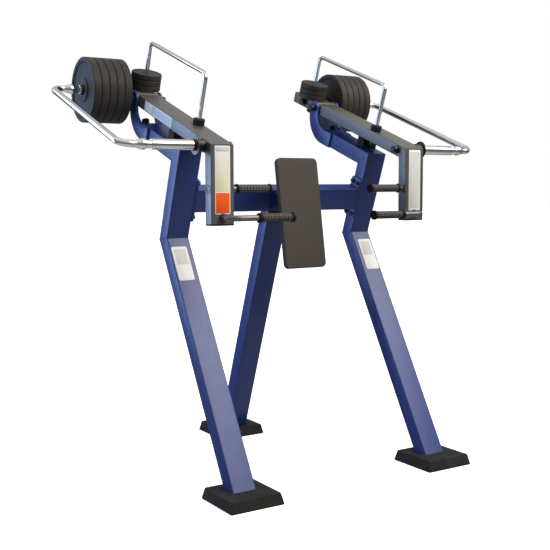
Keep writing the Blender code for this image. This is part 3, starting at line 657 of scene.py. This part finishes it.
def flange_nuts(side):
    """Four nuts with washers and thread ends on the flange plate's inner side."""
    shapes = []
    for s in (POST_S - FLANGE_BOLT_S, POST_S + FLANGE_BOLT_S):
        for n in (CROSS_N + FLANGE_BOLT_N, CROSS_N - FLANGE_BOLT_N):
            origin = slope((side * FLANGE_INNER_X, s, n))
            axis = -side * ACROSS
            tip = filleted([(0.0, 0.0048), (0.014, 0.0048), (0.015, 0.0038), (0.015, 0.001)],
                           0.0004, 2)
            shapes += [washer(0.0, 0.0022, 0.004, 0.0125, origin, axis),
                       nut(0.0022, 0.0115, 0.0098, origin, axis),
                       turned(tip, origin, axis, 24)]
    return shapes


def cross_tube():
    """Tube between the posts with its flange plates and their weld beads."""
    outline = rounded_box(TUBE_DEPTH / 2, TUBE_WIDTH / 2, TUBE_ROUND) + (POST_S, CROSS_N)
    flange = rounded_box(TUBE_DEPTH / 2, FLANGE_HALF, 0.012, 8) + (POST_S, CROSS_N)
    end = FLANGE_INNER_X + 0.001
    shapes = [skin(slope([across_at(-end, outline), across_at(end, outline)]))]
    for side in (-1, 1):
        low, high = sorted((side * FLANGE_INNER_X, side * FLANGE_OUTER_X))
        bead = slope(across_at(side * (FLANGE_INNER_X - 0.001), outline))
        shapes += [plate(flange, low, high, 0.0016), weld(bead, ACROSS)]
    return shapes


def rear_leg():
    """Rear leg from its shoe up to the crossbeam, with the bead where they meet."""
    low = (POST_AXIS_Y - SOCKET_FLOOR * tan(ARM_TILT), SOCKET_FLOOR)
    top_n = CROSS_N - TUBE_WIDTH / 2
    top = slope((0, POST_S, top_n))[1:]
    outline = rounded_box(TUBE_WIDTH / 2, TUBE_DEPTH / 2, TUBE_ROUND)
    loop = slope(level_at(outline + (0, POST_S), top_n - 0.001))
    return [tube([low, top], 0.0, ends=(ARM_TILT, 0.0)), weld(loop, OFF_SLOPE)]


def back_pad():
    """Dense moulded pad: rounded rectangles drawn in step by step, with a faint crown.

    The level over the rear face rises round the rim, then with the sine of the way in.
    """
    steps = [(0.003, 0.0), (0.0008, 0.0006), (0.0, 0.0022), (0.0, 0.012), (0.0, 0.0236),
             (0.0005, 0.0252), (0.0016, 0.0264), (0.0032, 0.0269)]
    inward = np.linspace(0.006, 0.1185, 22)
    crown = 0.027 + 0.001 * np.sin(pi / 2 * np.minimum(inward / 0.06, 1))
    rings = []
    for inset, level in [*steps, *zip(inward, crown)]:
        outline = rounded_box(PAD_HALF_WIDTH - inset, PAD_HALF_HEIGHT - inset,
                              max(0.025 - inset, 0.001), 12)
        rings.append(level_at(outline, level) @ (ACROSS, PAD_UP, PAD_OUT) + PAD_REAR)
    return skin(rings)


def pad_carrier():
    """Plate behind the pad and plate on the crossbeam, with their bolts and a box tube between.

    The tube is the surface through one rounded rectangle at each plate.
    """
    board = rounded_box(0.11, 0.075, 0.01) + (0.05, 0.0)
    beam_front = POST_S - TUBE_DEPTH / 2 - GAP
    foot_middle = slope((0, beam_front, CROSS_N + 0.003))
    shapes = [plate(board, GAP, BOARD_THICK, 0.001, facing(PAD_REAR, PAD_UP, ACROSS)),
              plate(rounded_box(0.053, 0.06, 0.008), -FOOT_THICK, 0.0, 0.001,
                    facing(foot_middle, OFF_SLOPE, ACROSS))]
    front_middle = (PAD_REAR + 0.06 * PAD_UP - 0.004 * PAD_OUT)[1:]
    back_middle = slope((0, beam_front - 0.004, CROSS_N + 0.001))[1:]
    outline = rounded_box(0.04, BRACKET_HALF, 0.005)
    rings = []
    for middle, half in ((front_middle, -BRACKET_HALF * PAD_UP),
                         (back_middle, -0.031 * OFF_SLOPE)):
        side = middle + outline[:, 1:] / BRACKET_HALF * half[1:]
        rings.append(np.column_stack([outline[:, 0], side]))
    shapes.append(skin(rings))
    seats = [(PAD_REAR + a * PAD_UP + b * ACROSS - BOARD_THICK * PAD_OUT, -PAD_OUT)
             for a in (-0.04, 0.14) for b in (-0.058, 0.058)]
    seats += [(slope((b, beam_front - FOOT_THICK, CROSS_N + a)), -UP_SLOPE)
              for a in (-0.036, 0.042) for b in (-0.049, 0.049)]
    return shapes + [nut(0.0, 0.0065, 0.0065, *seat) for seat in seats]


def build_frame():
    """All pieces that stand still."""
    for prefix, side in SIDES:
        x = side * SIDE_X
        low = (LEG_AXIS_Y + SOCKET_FLOOR * tan(LEG_TILT), SOCKET_FLOOR)
        leg = tube([low, KNEE], x, ends=(-LEG_TILT, -KNEE_LEAN))
        n = (BOOM_TOP_N + BOOM_BOTTOM_N) / 2
        corner, end = slope([(0, POST_S, n), (0, BOOM_END_S, n)])[:, 1:]
        post = tube([KNEE, corner, end], x, ends=(KNEE_LEAN, 0.0))
        add_side(prefix, "frame", (
            ("leg_tube", [leg, knee_weld(x)], BLUE, "lower_leg"),
            ("post_tube", [post], BLUE, "upper_post"),
            ("fork", fork(x), BLUE, "clevis"),
            ("pivot_bolt", pivot_bolt(side), STEEL, "pivot_pin"),
            ("front_shoe", [shoe(x, FRONT_FOOT_Y, LEG_TILT, LEG_AXIS_Y)], RUBBER, "front_foot"),
            ("rest_block", [rest_block(side)], RUBBER, "rest_bump"),
            ("buffer", [throat_buffer(side)], RUBBER, "throat_buffer"),
            ("flange_nuts", flange_nuts(side), STEEL)))
    rear_shoe = shoe(0.0, REAR_FOOT_Y, -ARM_TILT, POST_AXIS_Y)
    add_piece("cross_tube", cross_tube(), BLUE, "frame", "crossbeam")
    add_piece("rear_leg_tube", rear_leg(), BLUE, "frame", "rear_leg")
    add_piece("rear_shoe", [rear_shoe], RUBBER, "frame", "rear_foot")
    add_piece("pad_carrier", pad_carrier(), BLUE, "frame", "pad_bracket")
    pad = add_piece("moulded_back_pad", [back_pad()], PAD, "frame", "back_pad")


# Lever arms


def arm_tube(side):
    """Mitred arm tube with the bar of its upper handle, that bar's bead and the bearing tube."""
    middle = DROP_FRONT_Y + ARM_DEPTH / 2
    corner_s = (middle - SLOPE_Y - ARM_DEPTH / 2 * SIN) / COS
    corner, tail = slope([(0, corner_s, -ARM_DEPTH / 2), (0, ARM_TAIL_S, -ARM_DEPTH / 2)])[:, 1:]
    arm = tube([(middle, DROP_BOTTOM_Z), corner, tail], side * SIDE_X, ARM_WIDTH, ARM_DEPTH)
    axis = side * ACROSS
    seat = filleted([(ARM_OUTER_X - 0.002, 0.015), (ARM_OUTER_X + 0.0006, 0.015),
                     (ARM_OUTER_X + 0.0006, 0.001)], 0.0004, 2)
    ring = (HANDLE_R + 0.001) * spokes(axis, 64)
    loop = UPPER_HANDLE + (ARM_INNER_X - 0.0005) * axis + ring
    hub = slope((side * SIDE_X, PIVOT_S, PIVOT_N))
    half = ARM_WIDTH / 2
    bearing = filleted([(-half, BEARING_R - 0.003), (-half + 0.0012, BEARING_R),
                        (half - 0.0012, BEARING_R), (half, BEARING_R - 0.003)], 0.0008)
    bar = [(UPPER_HANDLE_END, HANDLE_R), (ARM_INNER_X + 0.002, HANDLE_R)]
    return [arm, turned(bar, UPPER_HANDLE, axis), turned(seat, UPPER_HANDLE, axis),
            weld(loop, axis, 0.0022), turned(bearing, hub, ACROSS)]


def end_plug(place):
    """Moulded plug in a cut end of the arm tube: rounded rectangles drawn in towards its end."""
    steps = ((-0.002, 0.003), (0.0, 0.0006), (0.0006, 0.0), (0.0055, 0.0), (0.007, 0.001),
             (0.0078, 0.003), (0.0082, 0.01), (0.0083, 0.02))
    half_a, half_b = ARM_DEPTH / 2, ARM_WIDTH / 2
    return skin(place([across_at(level, rounded_box(half_a - inset, half_b - inset, TUBE_ROUND))
                       for level, inset in steps]))


def collar(side, s, profile):
    """Collar outside the arm, and the stud's washer and capped nut inside."""
    origin = slope((0, s, SLEEVE_N))
    axis = side * ACROSS
    start = GAP - ARM_INNER_X
    return [turned(filleted(profile, 0.001), origin, axis),
            washer(start, WASHER_THICK, 0.011, 0.0215, origin, -axis),
            capped_nut(start + WASHER_THICK, STUD_END, origin, -axis)]


def handle_rings(side):
    """Dark ring round the upper handle's outer end, and a black flange at the lower handle's root
    that is partly painted shadow.
    """
    root = np.array((side * SIDE_X, DROP_FRONT_Y, LOWER_HANDLE[2]))
    # Painted shadow: this black flange round the handle's root also stands in for the shadow the
    # handle casts on the drop tube's face.
    root_flange_and_shadow = filleted([(GAP, HANDLE_R + 0.0004), (GAP, 0.0205), (0.005, 0.0205), (0.009, 0.0165),
                     (0.0125, HANDLE_R + 0.0004)], 0.001, closed=True)
    return [washer(ARM_OUTER_X + GAP, 0.001, 0.0165, 0.0195, UPPER_HANDLE, side * ACROSS),
            turned(root_flange_and_shadow, root, -REARWARD, closed=True)]


def sleeve(side, s, profile, ease=0.0007):
    """Sleeve or face from its profile of distance from the machine's middle and radius."""
    return turned(filleted(profile, ease), slope((0, s, SLEEVE_N)), side * ACROSS, 96)


def ball_ring(side):
    """Balls seated in the neck: each is a circle's points turned about its own spoke."""
    latitude = np.linspace(-0.49 * pi, 0.49 * pi, 13)
    profile = BALL_R * np.stack([np.sin(latitude), np.cos(latitude)], -1)
    shapes = []
    for number in range(BALLS):
        angle = tau * (number + 0.5) / BALLS
        spoke = cos(angle) * UP_SLOPE + sin(angle) * OFF_SLOPE
        origin = slope((side * BALL_X, REAR_S, SLEEVE_N)) + NECK_R * spoke
        shapes.append(turned(profile, origin, spoke, 20))
    return shapes


def plate_rail(side):
    """Rail bent twice in the sleeves' plane, with a stepped cone and neck at each end."""
    bend_x = RAIL_X - RAIL_BEND
    bends = np.concatenate([arc((bend_x, FRONT_S + RAIL_BEND), RAIL_BEND, -90, 0, 20),
                            arc((bend_x, REAR_S - RAIL_BEND), RAIL_BEND, 0, 90, 20)])
    front = filleted([(0.8769, NECK_R), (0.905, NECK_R), (0.9058, 0.0236), (0.9082, 0.025),
                      (0.921, 0.025), (0.944, 0.0176), (0.949, 0.0164)], 0.0008)
    rear = filleted([(0.885, NECK_R), (0.9125, NECK_R), (0.9133, 0.0236), (0.9157, 0.025),
                     (0.927, 0.0248), (0.952, 0.0176), (0.957, 0.0164)], 0.0008)[::-1]
    line = np.concatenate([np.insert(front, 1, FRONT_S, axis=1), level_at(bends, RAIL_R),
                           np.insert(rear, 1, REAR_S, axis=1)])
    path = slope(level_at(line[:, :2] * (side, 1), SLEEVE_N))
    return rod(path, line[:, 2], OFF_SLOPE, 64)


def top_rail(side):
    """Inverted U above the arm."""
    turn_n = SMALL_TOP_N - SMALL_BEND
    low = -ARM_DEPTH + 0.002
    bends = np.concatenate([arc((SMALL_FRONT_S + SMALL_BEND, turn_n), SMALL_BEND, 180, 90, 16),
                            arc((SMALL_REAR_S - SMALL_BEND, turn_n), SMALL_BEND, 90, 0, 16)])
    line = np.concatenate([[(SMALL_FRONT_S, low)], bends, [(SMALL_REAR_S, low)]])
    return [rod(slope(across_at(side * SMALL_X, line)), SMALL_RAIL_R, ACROSS)]


def rail_nuts(side):
    """Washer, nut and thread end below each leg of the top rail."""
    shapes = []
    thread = filleted([(0.0, 0.0098), (0.0225, 0.0098), (0.0238, 0.0084), (0.0238, 0.001)],
                      0.0005, 2)
    for s in (SMALL_FRONT_S, SMALL_REAR_S):
        origin = slope((side * SMALL_X, s, -ARM_DEPTH - GAP))
        shapes += [washer(0.0, 0.0022, 0.0102, 0.0185, origin, -OFF_SLOPE),
                   nut(0.0022, 0.0185, 0.015, origin, -OFF_SLOPE, 0.0016),
                   turned(thread, origin, -OFF_SLOPE, 40)]
    return shapes


def stop_discs(side):
    """Two rubber discs with a groove between them and a dished top."""
    profile = filleted([(GAP, 0.0108), (GAP, 0.0262), (0.002, 0.0282), (0.0125, 0.0285),
                        (0.014, 0.0262), (0.0152, 0.0262), (0.0168, 0.0285), (0.0262, 0.0282),
                        (0.0282, 0.0262), (0.0282, 0.02), (0.027, 0.019),
                        (0.0268, 0.0108)], 0.001)
    return turned(profile, slope((side * SMALL_X, SMALL_FRONT_S, 0.0)), OFF_SLOPE)


def bent_handle(side):
    """Lower handle: round bar out of the drop tube's face, bent towards the middle."""
    y, z = LOWER_HANDLE[1:]
    turn = arc((SIDE_X - HANDLE_BEND, y + HANDLE_BEND), HANDLE_BEND, 0, -90, 24)
    flat = np.concatenate([[(SIDE_X, DROP_FRONT_Y - GAP)], turn, [(LOWER_HANDLE_END, y)]])
    return [rod(level_at(flat * (side, 1), z), HANDLE_R, UPWARD, 48)]


def dimpled_barrel(side, near, far, origin):
    """Barrel with straight rows of round dimples, and how far each point is out of its dimple.

    At each point the lift is a smooth step of the distance, along and round the barrel, to the
    middle of the nearest dimple. It is full at both ends.
    """
    along = np.linspace(near, far, 240)[:, None]
    t = np.linspace(0, tau, 150, endpoint=False)
    pitch = (near - far) / round((near - far) / GRIP_PITCH)
    column = (near - along) / pitch - 0.5
    row = GRIP_ROWS * t / tau + DIMPLE_TURN
    away = np.hypot((column - np.round(column)) * pitch,
                    (row - np.round(row)) * tau * GRIP_R / GRIP_ROWS)
    lift = np.clip((away - DIMPLE_R + 0.0007) / 0.0014, 0, 1)
    lift = lift * lift * (3 - 2 * lift)
    radius = GRIP_R - DIMPLE_DEPTH * (1 - lift)
    points = np.stack([np.broadcast_to(side * along, radius.shape),
                       origin[1] + radius * np.cos(t), origin[2] + radius * np.sin(t)], -1)
    return skin(points), lift.ravel()


def hand_grip(side, arm_end, free_end, arm_flange, free_flange, origin):
    """Grip: dimpled barrel between two round flanges, the free one closed, and its lift."""
    near, far = arm_end - arm_flange, free_end + free_flange
    rim = GRIP_FLANGE_R
    first = filleted([(near - 0.001, 0.015), (near, GRIP_R), (near + 0.002, rim - 0.002),
                      (near + 0.005, rim), (arm_end - 0.0015, rim), (arm_end, rim - 0.002),
                      (arm_end, HANDLE_R + 0.0004)], 0.0012)
    last = filleted([(far + 0.001, 0.015), (far, GRIP_R), (far - 0.002, rim - 0.002),
                     (far - 0.005, rim), (free_end + 0.0025, rim), (free_end + 0.0004, rim - 0.003),
                     (free_end, 0.012), (free_end + 0.0006, 0.01),
                     (free_end + 0.0006, 0.001)], 0.0012)
    barrel, lift = dimpled_barrel(side, near, far, origin)
    axis = side * ACROSS
    return [barrel, turned(first, origin, axis), turned(last, origin, axis)], lift


def cast_plate(half, thick, bore_side, place, axis, around):
    """Cast plate turned from one half of its section and the same half mirrored.

    The half section gives, from the bore out, how far the surface lies below the face.
    """
    half = [(thick / 2 - drop, r) for drop, r in half]
    profile = filleted(half + [(-a, r) for a, r in reversed(half)], bore_side, closed=True)
    return turned(profile, place, axis, around, closed=True)


LARGE_SECTION = [(0.0012, 0.026), (0.0008, 0.0285), (0.001, 0.058), (0.009, 0.0615),
                 (0.0092, 0.066), (0.009, 0.137), (0.001, 0.1425), (0.0, 0.145),
                 (0.0, 0.1585), (0.0012, 0.1628), (0.0048, LARGE_R)]
SMALL_SECTION = [(0.0004, 0.0128), (0.0, 0.014), (0.0, 0.027), (0.0038, 0.03),
                 (0.004, 0.033), (0.0038, 0.061), (0.0, 0.064), (0.0, 0.074),
                 (0.001, 0.077), (0.0036, SMALL_R)]
# Collar barrel and flange disc body in black steel: the disc's dark rim and inner face are painted
# shade; only its outer face, FLANGE_FACE, has the graphite paint.
FRONT_COLLAR_SHADED_DISC = [(ARM_OUTER_X + GAP, 0.031), (0.655, 0.031), (0.655, 0.043),
                (0.6565, 0.0445), (0.6594, 0.0445), (0.6594, 0.001)]
FLANGE_FACE = [(0.6597, 0.001), (0.6597, 0.044), (0.6602, 0.0445), (0.6609, 0.044),
               (0.6612, 0.0428), (0.6612, 0.033), (0.6604, 0.0322), (0.6604, 0.0262),
               (0.6612, 0.0254), (0.6612, 0.001)]
REAR_COLLAR = [(ARM_OUTER_X + GAP, 0.028), (0.6205, 0.03), (0.652, 0.03),
               (0.6535, 0.028), (0.6535, 0.001)]
FRONT_SLEEVE = [(0.6613, SLEEVE_R), (0.8615, SLEEVE_R), (0.862, SLEEVE_R - 0.0012),
                (0.8635, SLEEVE_R - 0.0012), (0.864, SLEEVE_R), (0.8745, SLEEVE_R),
                (0.8766, SLEEVE_R - 0.002), (0.8766, 0.001)]
REAR_SLEEVE = [(0.6538, SLEEVE_R), (0.864, SLEEVE_R), (0.866, SLEEVE_R - 0.002),
               (0.8662, NECK_R), (0.8847, NECK_R), (0.8847, 0.001)]
SLEEVE_CAP = [(0.8612, SLEEVE_R + 0.0001), (0.8612, 0.0247), (0.8655, 0.0247), (0.8668, 0.024),
              (0.8668, NECK_R + 0.0002), (0.8663, NECK_R + 0.0002), (0.8663, SLEEVE_R + 0.0001)]
SLEEVE_RING = [(0.6613, SLEEVE_R + 0.0002), (0.6613, 0.0256), (0.6625, 0.0262),
               (0.6725, 0.0262), (0.674, 0.0254), (0.674, SLEEVE_R + 0.0002)]
STUD_END = -0.474
GRIPS = (("upper", 0.476, 0.291, 0.01, 0.014, UPPER_HANDLE),
         ("lower", 0.423, 0.23, 0.019, 0.019, LOWER_HANDLE))


def build_arm(prefix, side):
    """One lever arm with all that rides on it, and its plates."""
    body = f"{prefix}_lever_arm"
    axis = side * ACROSS
    tail = facing(slope((side * SIDE_X, ARM_TAIL_S, -ARM_DEPTH / 2)), OFF_SLOPE, ACROSS)
    drop = facing((side * SIDE_X, DROP_FRONT_Y + ARM_DEPTH / 2, DROP_BOTTOM_Z), REARWARD, ACROSS)
    rings = [turned(ring, slope((0, s, SLEEVE_N)), axis, closed=True)
             for ring, s in ((SLEEVE_RING, FRONT_S), (SLEEVE_CAP, REAR_S))]
    rear_tube = [sleeve(side, REAR_S, REAR_SLEEVE), *ball_ring(side)]
    add_side(prefix, body, (
        ("arm_tube", arm_tube(side), GRAPHITE, "arm"),
        ("end_plugs", [end_plug(tail), end_plug(drop)], RUBBER),
        # Painted shade: the flange disc's rim and inner face are black steel, and only its outer
        # face is graphite.
        ("front_collar", collar(side, FRONT_S, FRONT_COLLAR_SHADED_DISC), STEEL, "front_flange"),
        ("flange_face", [sleeve(side, FRONT_S, FLANGE_FACE, 0.0004)], GRAPHITE),
        ("rear_stub", collar(side, REAR_S, REAR_COLLAR), STEEL, "rear_collar"),
        ("handle_rings", handle_rings(side), STEEL),
        ("front_tube", [sleeve(side, FRONT_S, FRONT_SLEEVE)], CHROME, "front_sleeve"),
        ("sleeve_rings", rings, RUBBER),
        ("rear_tube", rear_tube, CHROME, "rear_sleeve"),
        ("plate_rail", [plate_rail(side)], CHROME, "large_rail"),
        ("top_rail", top_rail(side), CHROME, "small_rail"),
        ("rail_nuts", rail_nuts(side), STEEL),
        ("stop_discs", [stop_discs(side)], RUBBER, "rubber_stop"),
        ("bent_handle", bent_handle(side), GRAPHITE, "lower_handle")))
    for name, *measures in GRIPS:
        shapes, lift = hand_grip(side, *measures)
        add_piece(f"{prefix}_{name}_hand_grip", shapes, GRIP, body, f"{prefix}_{name}_grip",
                  raised=lift)
    first_large = slope((side * LARGE_FIRST_X, REAR_S, SLEEVE_N))
    first_small = slope((side * SMALL_X, SMALL_REAR_S, GAP))
    for size, count, section, thick, ease, first, run, turn_axis, around in (
            ("large", 5, LARGE_SECTION, LARGE_THICK, 0.0016, first_large, axis, ACROSS, 128),
            ("small", 3, SMALL_SECTION, SMALL_THICK, 0.001, first_small, OFF_SLOPE, OFF_SLOPE,
             96)):
        for number in range(count):
            place = first + (thick / 2 + number * (thick + GAP)) * run
            disc = cast_plate(section, thick, ease, place, turn_axis, around)
            node = f"{size}_plate_{number + 1}"
            add_side(prefix, f"{prefix}_{node}",
                     [(f"{size}_disc_{number + 1}", [disc], PLATE, node)])


# Bare films on the arms and legs


def film(name, place, low, high, layer, finish, body, slot_name, corner=0.002):
    """Thin rounded rectangle between two corners of a face, a number of layers over it."""
    low, high = np.array(low), np.array(high)
    outline = rounded_box(*((high - low) / 2), corner) + (low + high) / 2
    level = FILM_LIFT + layer * FILM_THICK
    shape = plate(outline, level, level + FILM_THICK, FILM_LIFT, place)
    add_piece(name, [shape], finish, body, slot_name=slot_name)


def add_films():
    """Films on the drop tubes' fronts, the left arm's outer side and the legs' fronts."""
    front = facing((0, DROP_FRONT_Y, 0), ACROSS, UPWARD)
    side = facing(slope((-ARM_OUTER_X, 0, 0)), OFF_SLOPE, UP_SLOPE)
    for name, place, low, high, layer, finish in (
            ("left_front_film", front, (-0.6, 1.281), (-0.522, 1.587), 0, WHITE_FILM),
            ("left_front_panel", front, (-0.596, 1.383), (-0.526, 1.583), 1, CREAM_FILM),
            ("left_front_header", front, (-0.594, 1.562), (-0.528, 1.581), 2, GREY_FILM),
            ("left_front_block", front, (-0.596, 1.285), (-0.526, 1.377), 1, ORANGE_FILM),
            ("right_front_film", front, (0.522, 1.281), (0.597, 1.587), 0, WHITE_FILM),
            ("right_front_panel", front, (0.526, 1.292), (0.593, 1.577), 1, GREY_FILM),
            ("left_side_film", side, (-0.053, 0.407), (-0.004, 0.723), 0, WHITE_FILM),
            ("left_side_panel", side, (-0.047, 0.413), (-0.01, 0.64), 1, BLUE_FILM)):
        arm = name.split("_")[0] + "_lever_arm"
        film(name, place, low, high, layer, finish, arm, "graphite_paint")
    leg_up = np.array((0.0, sin(LEG_TILT), cos(LEG_TILT)))
    leg_out = np.cross(ACROSS, leg_up)
    leg_front = facing(np.array((0, LEG_AXIS_Y, 0)) + TUBE_DEPTH / 2 * leg_out, ACROSS, leg_up)
    for prefix, low in (("left", -0.611), ("right", 0.526)):
        film(f"{prefix}_leg_film", leg_front, (low, 1.08), (low + 0.085, 1.262), 0,
             WHITE_FILM, "frame", "blue_paint", 0.01)
        film(f"{prefix}_leg_panel", leg_front, (low + 0.012, 1.165), (low + 0.073, 1.246), 1,
             GREY_FILM, "frame", "blue_paint", 0.003)


# Camera, floor and light


def add_camera():
    """Camera where the photograph was taken from, with its angle of view."""
    data = bpy.data.cameras.new("camera")
    data.lens = 62.1
    data.sensor_width = 36.0
    data.clip_end = 200.0
    camera = linked("camera", data)
    turn = (Matrix.Rotation(radians(-32.288), 4, "Z")
            @ Matrix.Rotation(radians(90 - 5.407), 4, "X")
            @ Matrix.Rotation(radians(-0.182), 4, "Z"))
    camera.matrix_world = Matrix.Translation((-2.645, -4.1256, 1.4106)) @ turn
    bpy.context.scene.camera = camera


def add_panel(name, place, aim, size, radiance, colour):
    """Soft rectangular studio light at a place, turned to a point, of one radiance all over."""
    data = bpy.data.lights.new(name, "AREA")
    data.shape = "RECTANGLE"
    data.size, data.size_y = size
    data.energy = radiance * pi * size[0] * size[1]
    data.color = colour
    light = linked(name, data)
    light.location = place
    light.rotation_mode = "QUATERNION"
    light.rotation_quaternion = (Vector(aim) - Vector(place)).to_track_quat("-Z", "Y")
    light.visible_camera = False


def add_floor():
    """Pale lit floor, kept out of the reflections in the machine."""
    mesh = bpy.data.meshes.new("floor")
    corners = ((-40, -40), (40, -40), (40, 40), (-40, 40))
    mesh.from_pydata([(x, y, -0.0005) for x, y in corners], [], [(0, 1, 2, 3)])
    floor = linked("floor", mesh)
    floor.visible_glossy = False
    floor.visible_diffuse = False
    f = Finish("pale_floor")
    tone = f.blend(f.noise(0.7), (0.9, 0.9, 0.9, 1), (0.88, 0.88, 0.88, 1))
    mesh.materials.append(f.done(Base_Color=tone, Roughness=0.9, Specular_IOR_Level=0.1,
                                 Emission_Color=(1, 1, 1, 1), Emission_Strength=0.85))


MIRRORED = ((0.0, (0.52, 0.51, 0.5)), (0.15, (0.5, 0.49, 0.485)),
            (0.3, (0.2, 0.19, 0.185)), (0.37, (0.15, 0.143, 0.14)),
            (0.48, (0.09, 0.086, 0.085)), (0.53, (0.14, 0.138, 0.136)),
            (0.58, (0.28, 0.278, 0.275)), (0.7, (0.48, 0.475, 0.47)),
            (0.86, (0.53, 0.525, 0.52)), (0.93, (0.72, 0.715, 0.71)), (1.0, (0.8, 0.79, 0.78)))
SURROUND = ((0.0, (0.15, 0.142, 0.138)), (0.44, (0.11, 0.105, 0.104)),
            (0.485, (0.03, 0.028, 0.027)), (0.53, (0.06, 0.058, 0.056)),
            (0.62, (0.3, 0.295, 0.29)), (0.8, (0.75, 0.73, 0.7)), (1.0, (0.9, 0.88, 0.85)))


def add_surround():
    """Surround banded by height: warm grey low down, dark at the horizon, pale overhead.

    Gloss mirrors bands of its own, as of a studio's walls, and the camera sees plain white.
    """
    world = bpy.data.worlds.new("surround")
    nodes = Nodes(world)
    where = nodes.add("ShaderNodeTexCoord").outputs["Generated"]
    height = nodes.add("ShaderNodeSeparateXYZ", {"Vector": where}).outputs["Z"]
    height = nodes.add("ShaderNodeMapRange", {"Value": height, "From Min": -1.0}).outputs["Result"]
    rays = nodes.add("ShaderNodeLightPath").outputs

    def banded(bands):
        ramp = nodes.add("ShaderNodeValToRGB", {"Fac": height})
        stops = ramp.color_ramp.elements
        while len(stops) < len(bands):
            stops.new(0.5)
        for stop, (position, colour) in zip(stops, bands):
            stop.position = position
            stop.color = (*colour, 1)
        return nodes.add("ShaderNodeBackground", {"Color": ramp.outputs["Color"]}).outputs[0]

    def chosen(kind, others, own):
        return nodes.add("ShaderNodeMixShader", {0: rays[kind], 1: others, 2: own}).outputs[0]

    lit = chosen("Is Glossy Ray", banded(SURROUND), banded(MIRRORED))
    plain = nodes.tree.nodes["Background"]
    plain.inputs["Color"].default_value = (1, 1, 1, 1)
    lit = chosen("Is Camera Ray", lit, plain.outputs[0])
    nodes.join(lit, nodes.tree.nodes["World Output"].inputs["Surface"])
    bpy.context.scene.world = world
    bpy.context.scene.view_settings.view_transform = "Standard"


build_frame()
for prefix, side in SIDES:
    build_arm(prefix, side)
add_films()
add_camera()
add_floor()
add_surround()
add_panel("key_panel", (2.8, -3.6, 5.5), (0, 0, 1.1), (6.6, 4.1), 4.5, (1.0, 0.955, 0.905))
add_panel("cool_panel", (-2.5, 1.85, 1.85), (0, 0, 1.5), (1.7, 2.9), 4.4, (0.38, 0.6, 1.0))
